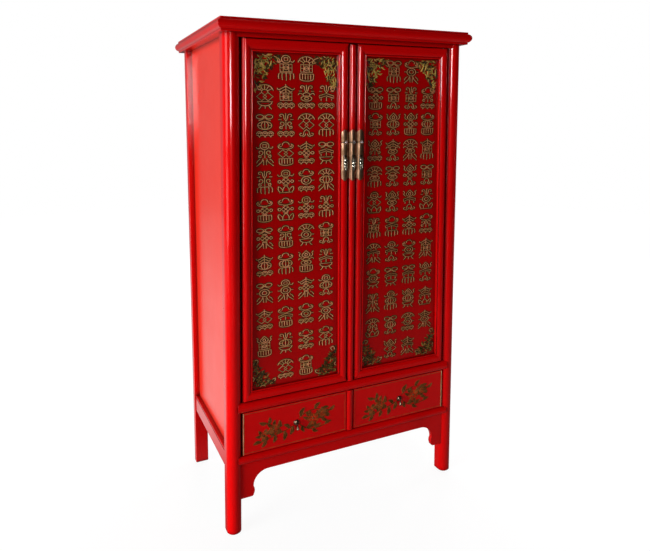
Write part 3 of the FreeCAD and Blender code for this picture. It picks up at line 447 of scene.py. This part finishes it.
class Relief:
    """Raised lines, leaves and petals on an upright face that looks forward, as one mesh.

    A finish is a place in the relief's list of materials. Lines take the first unless another is
    given, and the flat skirts beside them, where there are any, take the second.
    """

    line_finish, skirt_finish = 0, 1
    level_steps = 9
    height_step_share = 0.04
    foot_rise, foot_rise_step = 0.1, 0.012

    def __init__(self, face_y, materials):
        self.face_y = face_y
        self.materials = materials
        self.vertices, self.faces, self.finishes = [], [], []
        self.lines_drawn = 0

    def add(self, points, faces, finishes):
        """Points are (x, z, rise above the face)."""
        first = len(self.vertices)
        self.vertices += [(x * MM, (self.face_y - rise) * MM, z * MM) for x, z, rise in points]
        self.faces += [tuple(first + corner for corner in face) for face in faces]
        self.finishes += finishes

    def line(self, points, width=1.4, rise=1.1, foot=0.6, finish=line_finish, skirt=3.2):
        """A bevelled ribbon, between two flat skirts unless their width is zero.

        A path that ends where it starts is closed. Lines take turns at nine slightly different
        heights, so that few of those that cross have faces in the same plane.
        """
        closed = math.dist(points[0], points[-1]) < same_place
        path = points[:-1] if closed else points
        count = len(path)
        self.lines_drawn += 1
        level_step = self.lines_drawn % self.level_steps
        height = rise * (1 + self.height_step_share * level_step)
        low = self.foot_rise + self.foot_rise_step * level_step if skirt else sunk_foot
        strips = (finish, finish, finish, finish)
        if skirt:
            strips = (self.skirt_finish, finish, finish, finish, self.skirt_finish, self.skirt_finish)
        sections = []
        for index, (x, z) in enumerate(path):
            across_x, across_z = across_path(path, index, closed)
            at_end = not closed and index in (0, count - 1)
            half = width / 2 * (0.7 if at_end else 1.0)
            for reach, level in ribbon_profile(half, foot, skirt, height, low):
                sections.append((x + across_x * reach, z + across_z * reach, level))
        self.add(sections, *ribbon_faces(count, closed, strips, finish))

    def blade(self, root, tip, width, finish, bend=0.0, rise=0.9, fullest=0.45):
        """A leaf or petal with a raised spine, bent to one side and widest at a share of its length."""
        steps, end_rise = 8, 0.2
        run = (tip[0] - root[0], tip[1] - root[1])
        length = math.hypot(*run)
        points = [(*root, end_rise)]
        for step in range(1, steps):
            t = step / steps
            swell = math.sin(math.pi * t ** (math.log(0.5) / math.log(fullest)))
            x = root[0] + run[0] * t - run[1] * bend * math.sin(math.pi * t)
            z = root[1] + run[1] * t + run[0] * bend * math.sin(math.pi * t)
            across = (-run[1] / length * width / 2 * swell, run[0] / length * width / 2 * swell)
            points += [(x + across[0], z + across[1], sunk), (x, z, rise * (0.35 + 0.65 * swell)),
                       (x - across[0], z - across[1], sunk)]
        points.append((*tip, end_rise))
        last = len(points) - 1
        faces = [(0, 1, 2), (0, 2, 3), (0, 3, 1)]
        for step in range(steps - 2):
            here, there = 1 + 3 * step, 4 + 3 * step
            faces += [(here, there, there + 1, here + 1), (here + 1, there + 1, there + 2, here + 2),
                      (here + 2, there + 2, there, here)]
        end = last - 3
        faces += [(end, last, end + 1), (end + 1, last, end + 2), (end + 2, last, end)]
        self.add(points, faces, [finish] * len(faces))

    def turned(self, x, z, profile, finish=line_finish):
        """A turned shape about a point, open at both ends; its profile holds (radius, rise) pairs."""
        around = 12
        points = []
        for radius, level in profile:
            for step in range(around):
                angle = 2 * math.pi * step / around
                points.append((x + radius * math.cos(angle), z + radius * math.sin(angle), level))
        faces = []
        for level in range(len(profile) - 1):
            for step in range(around):
                here, following = level * around + step, level * around + (step + 1) % around
                faces.append((here, following, following + around, here + around))
        self.add(points, faces, [finish] * len(faces))

    def boss(self, x, z, radius, rise, finish=line_finish):
        """A small dome."""
        self.turned(x, z, [(radius, sunk), (radius * 0.8, rise * 0.6), (radius * 0.4, rise * 0.93),
                           (radius * 0.02, rise)], finish)

    def build(self, name, body):
        """Makes the piece, which rides on a body."""
        mesh = bpy.data.meshes.new(name)
        mesh.from_pydata(self.vertices, [], self.faces)
        for material in self.materials:
            mesh.materials.append(material)
        mesh.polygons.foreach_set("material_index", self.finishes)
        mesh.validate()
        piece = bpy.data.objects.new(name, mesh)
        bpy.context.scene.collection.objects.link(piece)
        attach(piece, body)


# Gilt ornaments of the doors, each in three tiers about its middle

def cloud_head():
    edge = smooth([(0, 15), (-8, 17), (-19, 20), (-22, 29), (-15, 34)]) + curl(-14, 28, 6, 80, 250)[1:]
    return both(edge, arc(0, 31, 10, 10, 90, 190))


def stepped_eaves():
    return both(smooth([(0, 36), (-9, 30), (-20, 24), (-25, 29)]),
                smooth([(0, 25), (-7, 22), (-14, 16), (-18, 20)])) + [[(0, 42), (0, 15)]]


def flame_bud():
    return both(smooth([(0, 42), (-6, 35), (-12, 27), (-9, 19), (0, 15)]),
                smooth([(0, 33), (-4, 27), (-3, 22), (0, 20)]),
                smooth([(-14, 17), (-21, 24), (-19, 34), (-24, 38)]))


def curled_horns():
    return both(smooth([(0, 15), (-5, 24), (-6, 33)]) + curl(-13, 33, 7, 0, 290)[1:],
                [(-13, 20), (-22, 20)]) + [[(0, 42), (0, 22)]]


def open_fan():
    hub_z, hub_radius, rib_end, rim_radius = 15, 9, 24, 25
    ribs = []
    for angle in (30, 60, 90, 120, 150):
        sideways, upwards = math.cos(math.radians(angle)), math.sin(math.radians(angle))
        ribs.append([(hub_radius * sideways, hub_z + hub_radius * upwards),
                     (rib_end * sideways, hub_z + rib_end * upwards)])
    return ribs + [arc(0, hub_z, rim_radius, rim_radius, 12, 168),
                   arc(0, hub_z, hub_radius, hub_radius, 0, 180)]


def pierced_coin():
    square = [(-5, 24), (5, 24), (5, 34), (-5, 34), (-5, 24)]
    return [ring(0, 29, 12.5), square] + both(smooth([(-13, 22), (-20, 20), (-24, 26)]))


def tied_bow():
    return both(ring(-13, 30, 10, 7), smooth([(0, 28), (-7, 21), (-17, 17)])) + [ring(0, 29, 3.4)]


def lattice_box():
    return [[(-17, -12), (17, -12), (17, 13), (-17, 13), (-17, -12)], [(-17, 0.5), (17, 0.5)],
            ring(0, 0.5, 6)] + both([(-8, 13), (-8, -12)])


def double_ring():
    return [ring(0, 0, 15, 14), ring(0, 0, 7)] + both([(-15, 0), (-24, 0)])


def lantern():
    return [ring(0, 0, 20, 13.5), ring(0, 0, 10, 13.5), [(0, 13), (0, -13)]] + both([(-10, 0), (-20, 0)])


def crossed_lozenges():
    return [[(x - 14, 0), (x, 14), (x + 14, 0), (x, -14), (x - 14, 0)] for x in (-9, 9)]


def endless_knot():
    strands = []
    for shift in (-9, 0, 9):
        strands += [[(shift - 9, 9 + shift / 2), (shift + 9, -9 + shift / 2)],
                    [(shift + 9, 9 - shift / 2), (shift - 9, -9 - shift / 2)]]
    loops = [arc(0, 12, 6, 4, 0, 180), arc(0, -12, 6, 4, 180, 360)]
    return strands + both(arc(-18, 0, 5, 5, 60, 300)) + loops


def gourd():
    return [ring(0, 8, 10, 7), ring(0, -5, 16, 9), ring(0, -5, 6, 4)] + both(
        smooth([(-11, 9), (-20, 13), (-24, 7)]))


def facing_scrolls():
    return both(curl(-12, 6, 8, -60, 300)[::-1] + smooth([(-8, -1), (-12, -4), (-16, -6)])[1:],
                curl(-13, -8, 6, 100, 290)) + [[(0, 14), (0, -14)]]


def hanging_chime():
    return both([(0, 13), (-22, 5), (-22, -3), (0, 5)], [(-16, -5), (-16, -13)]) + [
        [(0, 1), (0, -13)]]


def splayed_legs():
    return both(smooth([(-5, -15), (-9, -26), (-17, -35), (-24, -42)]), [(-4, -20), (-4, -38)],
                smooth([(-14, -17), (-21, -24), (-24, -31)]))


def three_tassels():
    return [[(-18, -16), (18, -16)], [(0, -16), (0, -42)]] + both(
        smooth([(-11, -16), (-12, -28), (-11, -40)]), smooth([(-20, -18), (-22, -27), (-21, -36)]))


def lotus_base():
    return [smooth([(-10, -38), (-8, -26), (0, -16), (8, -26), (10, -38)])] + both(
        smooth([(-10, -30), (-17, -21), (-22, -19), (-23, -30), (-18, -38)]), [(0, -40), (-20, -40)])


def wave_base():
    rows = []
    for x in (-16, 0, 16):
        rows += [arc(x, -30, 8, 9, 0, 180), arc(x, -30, 3.6, 4, 0, 180)]
    return rows + both(arc(-8, -41, 8, 8, 0, 180), arc(-24, -41, 8, 8, 0, 90))


def scroll_base():
    return both(smooth([(0, -16), (-7, -22), (-9, -31)]) + curl(-16, -32, 7, 0, -300)[1:],
                smooth([(-3, -30), (-5, -37), (-12, -41)]))


def tripod_bowl():
    return [arc(0, -17, 20, 14, 180, 360), [(-22, -17), (22, -17)], [(0, -31), (0, -41)]] + both(
        smooth([(-10, -29), (-13, -36), (-18, -42)]))


def fringed_hem():
    teeth = [[(x, -19), (x, -37)] for x in (-12, -4, 4, 12)]
    return teeth + [[(-20, -18), (20, -18)], arc(0, -34, 20, 8, 180, 360)] + both([(-20, -18), (-20, -34)])


crowns = (cloud_head, stepped_eaves, flame_bud, curled_horns, open_fan, pierced_coin, tied_bow)
hearts = (lattice_box, double_ring, lantern, crossed_lozenges, endless_knot, gourd, facing_scrolls,
          hanging_chime)
bases = (splayed_legs, three_tassels, lotus_base, wave_base, scroll_base, tripod_bowl, fringed_hem)
ornament_columns = 4
ornament_rows = 12
first_column_share = 0.142
column_step_share = 0.239
ornament_stretch, ornament_squeeze = 1.24, 0.93
top_row_z = 1710
top_row_step = 90
row_step_growth = 0.65


def row_height(row):
    """The rows stand closer together near the top."""
    return top_row_z - top_row_step * row - row_step_growth * row * (row - 1)


def panel_width(z):
    """From the meeting stile's bead to the hinge stile's, at a height; the posts lean."""
    return half_feet - hinge_side_inset - z * lean_share - meeting_side_x


def column_x(column, z):
    return meeting_side_x + panel_width(z) * (first_column_share + column_step_share * column)


def draw_ornament(relief, x, z, chooser):
    """One of many ornaments, made of a crown, a heart and a base."""
    strokes = chooser.choice(crowns)() + chooser.choice(hearts)() + chooser.choice(bases)()
    for stroke in strokes:
        relief.line([(x + ornament_stretch * u, z + ornament_squeeze * v) for u, v in stroke])


def draw_ornaments(relief, side, chooser):
    """Columns of ornaments; the outer ones leave the panel's corners free for the sprays."""
    for column in range(ornament_columns):
        outer = column in (0, ornament_columns - 1)
        rows = range(1, ornament_rows - 1) if outer else range(ornament_rows)
        for row in rows:
            z = row_height(row)
            draw_ornament(relief, side * column_x(column, z), z, chooser)


# Sprays in the corners of the doors and on the drawers

# Places in the list of materials of the doors' relief, and of the drawers'
GILT, SHADOW, GREEN, OLIVE, SHADE = range(5)
BORDER, LEAF_EDGE, LEAF, PETAL, ARRIS = range(5)

petal_count = 5
petal_spread = math.radians(34)
leaf_bend = 0.1
stem_width = 2.2
blossom_leaves = 6
leaf_slimness = 0.44


def blossom(relief, x, z, radius, turn, petal, heart, outline):
    """Petals with drawn edges about a small boss; petal, heart and outline are finishes."""
    for step in range(petal_count):
        angle = math.radians(turn + 360 / petal_count * step)
        root = (x + 0.15 * radius * math.cos(angle), z + 0.15 * radius * math.sin(angle))
        tip = (x + radius * math.cos(angle), z + radius * math.sin(angle))
        relief.blade(root, tip, radius * 0.8, petal, fullest=0.62)
        edge = [(x + radius * share * math.cos(angle + petal_spread * swing),
                 z + radius * share * math.sin(angle + petal_spread * swing))
                for share, swing in ((0.45, -0.95), (0.85, -0.8), (1.04, 0), (0.85, 0.8), (0.45, 0.95))]
        relief.line(smooth(edge, 3), 1.2, 1.0, 0.4, outline, skirt=0)
    relief.boss(x, z, radius * 0.24, 1.8, heart)


def leaf(relief, root, heading, length, width, side):
    """A leaf with a drawn outline and midrib; its heading is in degrees."""
    angle = math.radians(heading)
    along, across = (math.cos(angle), math.sin(angle)), (-math.sin(angle), math.cos(angle))
    tip = (root[0] + length * along[0], root[1] + length * along[1])
    bend = leaf_bend * side
    relief.blade(root, tip, width, LEAF, bend, 0.8)

    def at(share, reach):
        sag = length * bend * math.sin(math.pi * share)
        return tuple(root[axis] + length * share * along[axis] + (reach + sag) * across[axis]
                     for axis in (0, 1))

    for edge in (-0.46, 0.46):
        rim = [at(share, edge * width * swell)
               for share, swell in ((0, 0), (0.22, 0.8), (0.5, 1), (0.8, 0.6))]
        relief.line(smooth([*rim, tip], 3), 0.9, 0.9, 0.3, LEAF_EDGE, skirt=0)
    midrib = smooth([at(0, 0), at(0.45, 0), at(0.85, 0)], 3)
    relief.line(midrib, 0.8, 1.2, 0.3, LEAF_EDGE, skirt=0)


def leafy_stem(relief, points, leaves):
    """A stem with leaves: each is a share of the stem, the side, a length and a turn in degrees."""
    curve = smooth(points, 6)
    relief.line(curve, stem_width, 0.7, 0.6, LEAF, skirt=0)
    for share, side, length, turn in leaves:
        index = min(int(share * (len(curve) - 1)), len(curve) - 2)
        (x, z), (next_x, next_z) = curve[index:index + 2]
        heading = math.degrees(math.atan2(next_z - z, next_x - x)) + side * turn
        leaf(relief, (x, z), heading, length, length * leaf_slimness, side)


spray_blades = 150
spray_shadow_blades = 65
spray_reach = (88, 112)
spray_corner_gap = 2
spray_tip_gap = 1
spray_heart = (28, 32)
spray_blossom_radius = 13
spray_tendrils = ([(70, 8), (88, 16), (92, 27), (80, 24)], [(8, 96), (15, 112), (26, 107), (20, 96)],
                  [(4, 30), (9, 38), (4, 48)], [(32, 4), (42, 8), (52, 3)])
panel_margin = 2.0


def spray_finish(place, near_heart, upper, chooser):
    """The finish of a spray's blade: the first ones are dark, and the lower sprays are duller."""
    finish = chooser.choice((OLIVE, OLIVE, OLIVE, OLIVE, GREEN) if near_heart else
                            (OLIVE, OLIVE, GREEN, SHADE, SHADOW))
    if not upper:
        finish = chooser.choice((SHADE, SHADE, GREEN, GREEN, SHADOW))
    if place < spray_shadow_blades:
        finish = chooser.choice((SHADOW, GREEN))
    return finish


def corner_spray(relief, corner_x, corner_z, right, up, chooser):
    """A dense spray that fills a panel's corner; right and up point away from the corner."""
    upper = up < 0
    reach_u, reach_v = spray_reach
    heart_u, heart_v = spray_heart

    def at(u, v):
        return (corner_x + right * u, corner_z + up * v)

    for place in range(spray_blades):
        u, v = chooser.uniform(0, reach_u), chooser.uniform(0, reach_v)
        if u / reach_u + v / reach_v > 1:
            u, v = reach_u - u, reach_v - v
        angle = math.radians(chooser.uniform(-35, 125))
        length = chooser.uniform(12, 21)
        root_u, root_v = u + spray_corner_gap, v + spray_corner_gap
        tip_x, tip_z = at(root_u + length * math.cos(angle), root_v + length * math.sin(angle))
        tip = (max(tip_x * right, corner_x * right + spray_tip_gap) * right,
               max(tip_z * up, corner_z * up + spray_tip_gap) * up)
        near_heart = math.hypot(u - heart_u, v - heart_v) < 2 * spray_blossom_radius
        finish = spray_finish(place, near_heart, upper, chooser)
        relief.blade(at(root_u, root_v), tip, length * chooser.uniform(0.28, 0.4), finish,
                     0.1 * right * up, 0.6 + 0.01 * place)
    petal, heart = (OLIVE, GILT) if upper else (SHADE, SHADE)
    blossom(relief, *at(heart_u, heart_v), spray_blossom_radius, 20, petal, heart, SHADOW)
    for tendril in spray_tendrils:
        relief.line([at(u, v) for u, v in smooth(tendril)], 1.8, 0.7, 0.6)


def door_relief(side_name, side, seed, gilt):
    """A door's gilding: columns of ornaments and a spray in each corner."""
    relief = Relief(door_panel_y, [gilt, gilt_shadow, leaf_green, olive_gilt, olive_shade])
    chooser = random.Random(seed)
    draw_ornaments(relief, side, chooser)
    for corner_z, up in ((panel_top - panel_margin, -1), (panel_foot + panel_margin, 1)):
        inner = meeting_side_x + panel_margin
        outer = meeting_side_x + panel_width(corner_z) - panel_margin
        corner_spray(relief, side * inner, corner_z, side, up, chooser)
        corner_spray(relief, side * outer, corner_z, -side, up, chooser)
    relief.build(f"door_{side_name}_gilding", f"door_{side_name}")


def drawer_edge_x(z, inset):
    """The leaning line at a distance inside the drawer front's outer edge."""
    return half_feet - drawer_outer_inset - z * lean_share - inset


border_inset = 6.0
arris_inset = 2.2
arris_end_gap = 1.5

# The stems' points from the pull, each with its leaves
drawer_stems = (
    ([(-12, -10), (-50, -24), (-96, -34), (-150, -50)],
     [(0.1, 1, 36, 50), (0.2, -1, 32, 60), (0.36, 1, 40, 70), (0.5, -1, 34, 40), (0.62, 1, 32, 60),
      (0.7, -1, 36, 60), (0.84, 1, 34, 40), (0.88, -1, 30, 70), (0.97, -1, 34, 10)]),
    ([(-62, -28), (-78, -2), (-106, 14), (-122, 26)],
     [(0.3, -1, 34, 50), (0.5, 1, 32, 60), (0.8, -1, 30, 60), (0.96, 1, 32, 20)]),
    ([(14, -12), (46, -36), (86, -42), (124, -34)],
     [(0.12, -1, 30, 30), (0.3, 1, 36, 30), (0.52, -1, 30, 30), (0.66, 1, 30, 30), (0.97, 1, 30, 5)]),
    ([(10, 16), (40, 34), (84, 40), (124, 22)],
     [(0.15, 1, 40, 30), (0.34, -1, 34, 50), (0.62, 1, 34, 50), (0.8, -1, 36, 60), (0.86, 1, 32, 40),
      (0.97, -1, 34, 30)]),
    ([(104, -6), (124, 4), (140, 24)], [(0.2, -1, 30, 60), (0.6, 1, 28, 60), (0.96, -1, 30, 20)]),
)

# The blossoms' places from the pull, radii and turns in degrees
drawer_blossoms = ((-92, -4, 19, 10), (70, 2, 24, 40), (-134, -22, 13, 60), (112, 14, 13, 25))


def drawer_border(relief, side):
    """A painted border, and a gilt line on the edge beside the post, made pale as a painted highlight."""
    inner = drawer_inner_x + border_inset
    low, high = drawer_foot + border_inset, drawer_head - border_inset
    border = [(inner, low), (drawer_edge_x(low, border_inset), low),
              (drawer_edge_x(high, border_inset), high), (inner, high), (inner, low)]
    relief.line([(side * x, z) for x, z in border], 1.4, 0.35, 0.5, BORDER, skirt=0)
    arris = [(side * drawer_edge_x(z, arris_inset), z)
             for z in (drawer_foot + arris_end_gap, drawer_head - arris_end_gap)]
    relief.line(arris, 2.6, 0.5, 0.5, ARRIS, skirt=0)


def leafy_blossom(relief, x, z, radius, turn):
    """A blossom over a ring of leaves."""
    for step in range(blossom_leaves):
        heading = turn + 360 / blossom_leaves * step + 12 * (step % 2)
        angle = math.radians(heading)
        root = (x + 0.5 * radius * math.cos(angle), z + 0.5 * radius * math.sin(angle))
        leaf(relief, root, heading, 0.6 * radius + 13 + 3 * (step % 3), 12, 1)
    blossom(relief, x, z, radius, turn, PETAL, LEAF_EDGE, PETAL)


def drawer_relief(side_name, side):
    """A drawer's painting; its spray grows the same way on both drawers and isn't mirrored."""
    relief = Relief(drawer_face_y, [border_gilt, leaf_edge, leaf_brown, petal_gold, edge_gilt_and_highlight])

    def at(u, v):
        return (side * pull_x + u, pull_z + v)

    drawer_border(relief, side)
    for points, leaves in drawer_stems:
        leafy_stem(relief, [at(u, v) for u, v in points], leaves)
    for u, v, radius, turn in drawer_blossoms:
        leafy_blossom(relief, *at(u, v), radius, turn)
    relief.build(f"drawer_{side_name}_painting", f"drawer_{side_name}")


# Chased work on the pendants

rim_inset = 1.5
rim_foot_inset = 2.6
rim_drops = [4 + 2.9 * step for step in range(17)]
collar_profile = [(5.4, sunk), (2.7, 1.0), (2.2, 1.0), (1.8, sunk)]
bead_rise = 1.3
bead_drops_and_radii = ((8, 1.6), (46, 2.6))


def pendant_half_width(drop):
    """Half the pendant's width, at a distance below its pivot."""
    if drop < pendant_belly_drop:
        swell = math.sin(math.pi / 2 * drop / pendant_belly_drop)
        return pendant_neck + (pendant_belly - pendant_neck) * swell
    taper = (drop - pendant_belly_drop) / (pendant_length - pendant_belly_drop)
    return pendant_belly * math.sqrt(max(1 - taper * taper, 0))


def pendant_relief(name, x, middle_y):
    """A raised rim, a sloping collar round each hole, and a bead above and below them."""
    relief = Relief(middle_y - pendant_thickness / 2, [bright_brass, dark_brass])
    rim = [(x + pendant_half_width(drop) - rim_inset, hanger_z - drop) for drop in rim_drops]
    rim += [(x, hanger_z - pendant_length + rim_foot_inset)]
    rim += [(2 * x - u, v) for u, v in reversed(rim[:-1])]
    relief.line(rim, 1.1, 0.6, 0.35, skirt=0)
    for drop in pendant_hole_drops:
        relief.turned(x, hanger_z - drop, collar_profile)
    for drop, radius in bead_drops_and_radii:
        relief.boss(x, hanger_z - drop, radius, bead_rise)
    relief.build(f"{name}_chasing", name)


door_relief("left", -1, 11, gilt_line)
# The right door's gilt is darker: painted shade.
door_relief("right", 1, 23, painted_shade_gilt_line)
drawer_relief("left", -1)
drawer_relief("right", 1)
pendant_relief("door_left_pendant", -plate_x, door_pendant_y)
pendant_relief("centre_pendant", 0, centre_pendant_y)
pendant_relief("door_right_pendant", plate_x, door_pendant_y)


# Camera at the photograph's place; angles are in radians and the focal length in pixels

image_width = 650
camera_place = Vector((-0.97232, -2.12248, 1.53925))
camera_yaw, camera_pitch, camera_roll = 0.42341, -0.26681, -0.008
focal_pixels = 567.946
shift_pixels = Vector((-9.8415, 1.5629))


def make_camera():
    lens = bpy.data.cameras.new("camera")
    camera = bpy.data.objects.new("camera", lens)
    bpy.context.scene.collection.objects.link(camera)
    forward = Vector((math.sin(camera_yaw) * math.cos(camera_pitch),
                      math.cos(camera_yaw) * math.cos(camera_pitch), math.sin(camera_pitch)))
    level_right = Vector((math.cos(camera_yaw), -math.sin(camera_yaw), 0))
    level_up = level_right.cross(forward)
    right = level_right * math.cos(camera_roll) + level_up * math.sin(camera_roll)
    up = right.cross(forward)
    turn = Matrix((right, up, -forward)).transposed()
    camera.matrix_world = Matrix.Translation(camera_place) @ turn.to_4x4()
    lens.lens = focal_pixels * lens.sensor_width / image_width
    lens.shift_x = -shift_pixels.x / image_width
    lens.shift_y = shift_pixels.y / image_width
    bpy.context.scene.camera = camera


# Floor, background and lamps

def floor_material():
    """Dull grey that shows white to the camera, and in the gloss glows behind the cabinet."""
    material, tree, shader = new_material("studio_floor")
    metres = object_coordinates(tree)
    distance = make_node(tree, "ShaderNodeVectorMath", {"Vector": metres}, operation="LENGTH")
    far = remap(tree, distance.outputs["Value"], 1.2, 2.6)
    base = mix_colours(tree, far, (0.11, 0.11, 0.11), (0.09, 0.09, 0.09))
    connect(tree, shader, base_color=base, roughness=0.9)
    shader.inputs["Specular IOR Level"].default_value = 0.0
    shader.inputs["Emission Color"].default_value = (1, 1, 1, 1)
    rays = make_node(tree, "ShaderNodeLightPath").outputs
    boost = remap(tree, far, 0, 1, 0.92, 1.0)
    place = make_node(tree, "ShaderNodeSeparateXYZ", {"Vector": metres}).outputs
    glow = multiply(tree, remap(tree, place["Y"], 0.0, 0.6, 0.0, 0.5),
                    remap(tree, place["Y"], 1.0, 6.0, 1.0, 0.6))
    shown = multiply(tree, rays["Is Camera Ray"], boost)
    behind = multiply(tree, glow, rays["Is Glossy Ray"])
    tree.links.new(maths(tree, "ADD", shown, behind), shader.inputs["Emission Strength"])
    return material


def make_floor():
    radius, sides = 9.0, 96
    ring_points = [(radius * math.cos(2 * math.pi * step / sides),
                    radius * math.sin(2 * math.pi * step / sides), 0) for step in range(sides)]
    mesh = bpy.data.meshes.new("floor")
    mesh.from_pydata(ring_points, [], [tuple(range(sides))])
    mesh.materials.append(floor_material())
    floor = bpy.data.objects.new("floor", mesh)
    bpy.context.scene.collection.objects.link(floor)


def make_world():
    """White for the camera, pale behind and to the left in reflections, and faint light around."""
    world = bpy.data.worlds.new("studio")
    bpy.context.scene.world = world
    world.use_nodes = True
    tree = world.node_tree
    rays = make_node(tree, "ShaderNodeLightPath").outputs
    direction = make_node(tree, "ShaderNodeTexCoord").outputs["Generated"]
    split = make_node(tree, "ShaderNodeSeparateXYZ", {"Vector": direction}).outputs
    behind = remap(tree, split["Y"], -0.2, 0.5, 0.03, 0.18)
    leftwards = multiply(tree, remap(tree, split["X"], 0.3, -0.1, 0.12, 1.0),
                         remap(tree, split["Z"], 0.1, 0.6, 1.0, 0.35))
    for_light = multiply(tree, rays["Is Diffuse Ray"], 0.03)
    for_gloss = multiply(tree, rays["Is Glossy Ray"], multiply(tree, behind, leftwards))
    seen = maths(tree, "MAXIMUM", rays["Is Camera Ray"], rays["Is Transmission Ray"])
    strength = maths(tree, "MAXIMUM", maths(tree, "ADD", for_light, for_gloss), seen)
    background = tree.nodes["Background"]
    background.inputs["Color"].default_value = (1, 1, 1, 1)
    tree.links.new(strength, background.inputs["Strength"])


def softbox(name, place, target, width, height, watts, in_gloss=True, in_diffuse=True):
    """An area lamp aimed at a point, seen in the gloss, by dull surfaces, or by both."""
    lamp = bpy.data.lights.new(name, "AREA")
    lamp.shape = "RECTANGLE"
    lamp.size, lamp.size_y = width, height
    lamp.energy = watts
    holder = bpy.data.objects.new(name, lamp)
    bpy.context.scene.collection.objects.link(holder)
    holder.location = place
    aim = Vector(target) - Vector(place)
    holder.rotation_euler = aim.to_track_quat("-Z", "Y").to_euler()
    holder.visible_glossy = in_gloss
    holder.visible_diffuse = in_diffuse


make_camera()
make_floor()
make_world()
softbox("window", (-6.2, -2.0, 2.9), (0, -0.2, 1.3), 3.4, 2.8, 92)
softbox("window_foot", (-6.2, -2.0, 0.7), (0, -0.2, 0.7), 3.4, 1.1, 24)
softbox("side_fill", (-6.2, -1.3, 0.9), (0, -0.2, 0.5), 3.2, 1.6, 365, in_gloss=False)
softbox("left_wash", (-3.2, -1.2, 0.6), (0.2, -0.3, 0.5), 0.9, 1.2, 24, in_gloss=False)
softbox("high_front", (-1.7, -4.9, 2.0), (0.2, -0.3, 1.6), 1.2, 0.75, 82, in_diffuse=False)
softbox("front_fill", (-1.7, -4.5, 3.1), (0.2, -0.3, 1.1), 1.2, 1.2, 15, in_gloss=False)
softbox("low_front", (-0.9, -2.3, 0.35), (0, -0.2, 0.4), 0.9, 0.5, 6, in_gloss=False)
softbox("low_right", (2.5, -1.5, 0.9), (0.4, -0.2, 0.8), 0.8, 1.4, 13, in_gloss=False)
softbox("back_right", (2.6, 2.4, 1.8), (0, 0.2, 0.9), 1.4, 1.4, 40, in_gloss=False)
softbox("back_fill", (0.9, 4.6, 1.9), (0, 0.3, 1.0), 2.0, 1.6, 90, in_gloss=False)
softbox("right_fill", (5.2, 0.9, 1.4), (0.5, 0.1, 0.9), 2.0, 1.8, 120, in_gloss=False)
softbox("overhead", (0.4, 0.7, 4.4), (0.1, 0.1, 1.8), 2.0, 2.0, 50, in_gloss=False)
bpy.context.scene.view_settings.view_transform = "Standard"
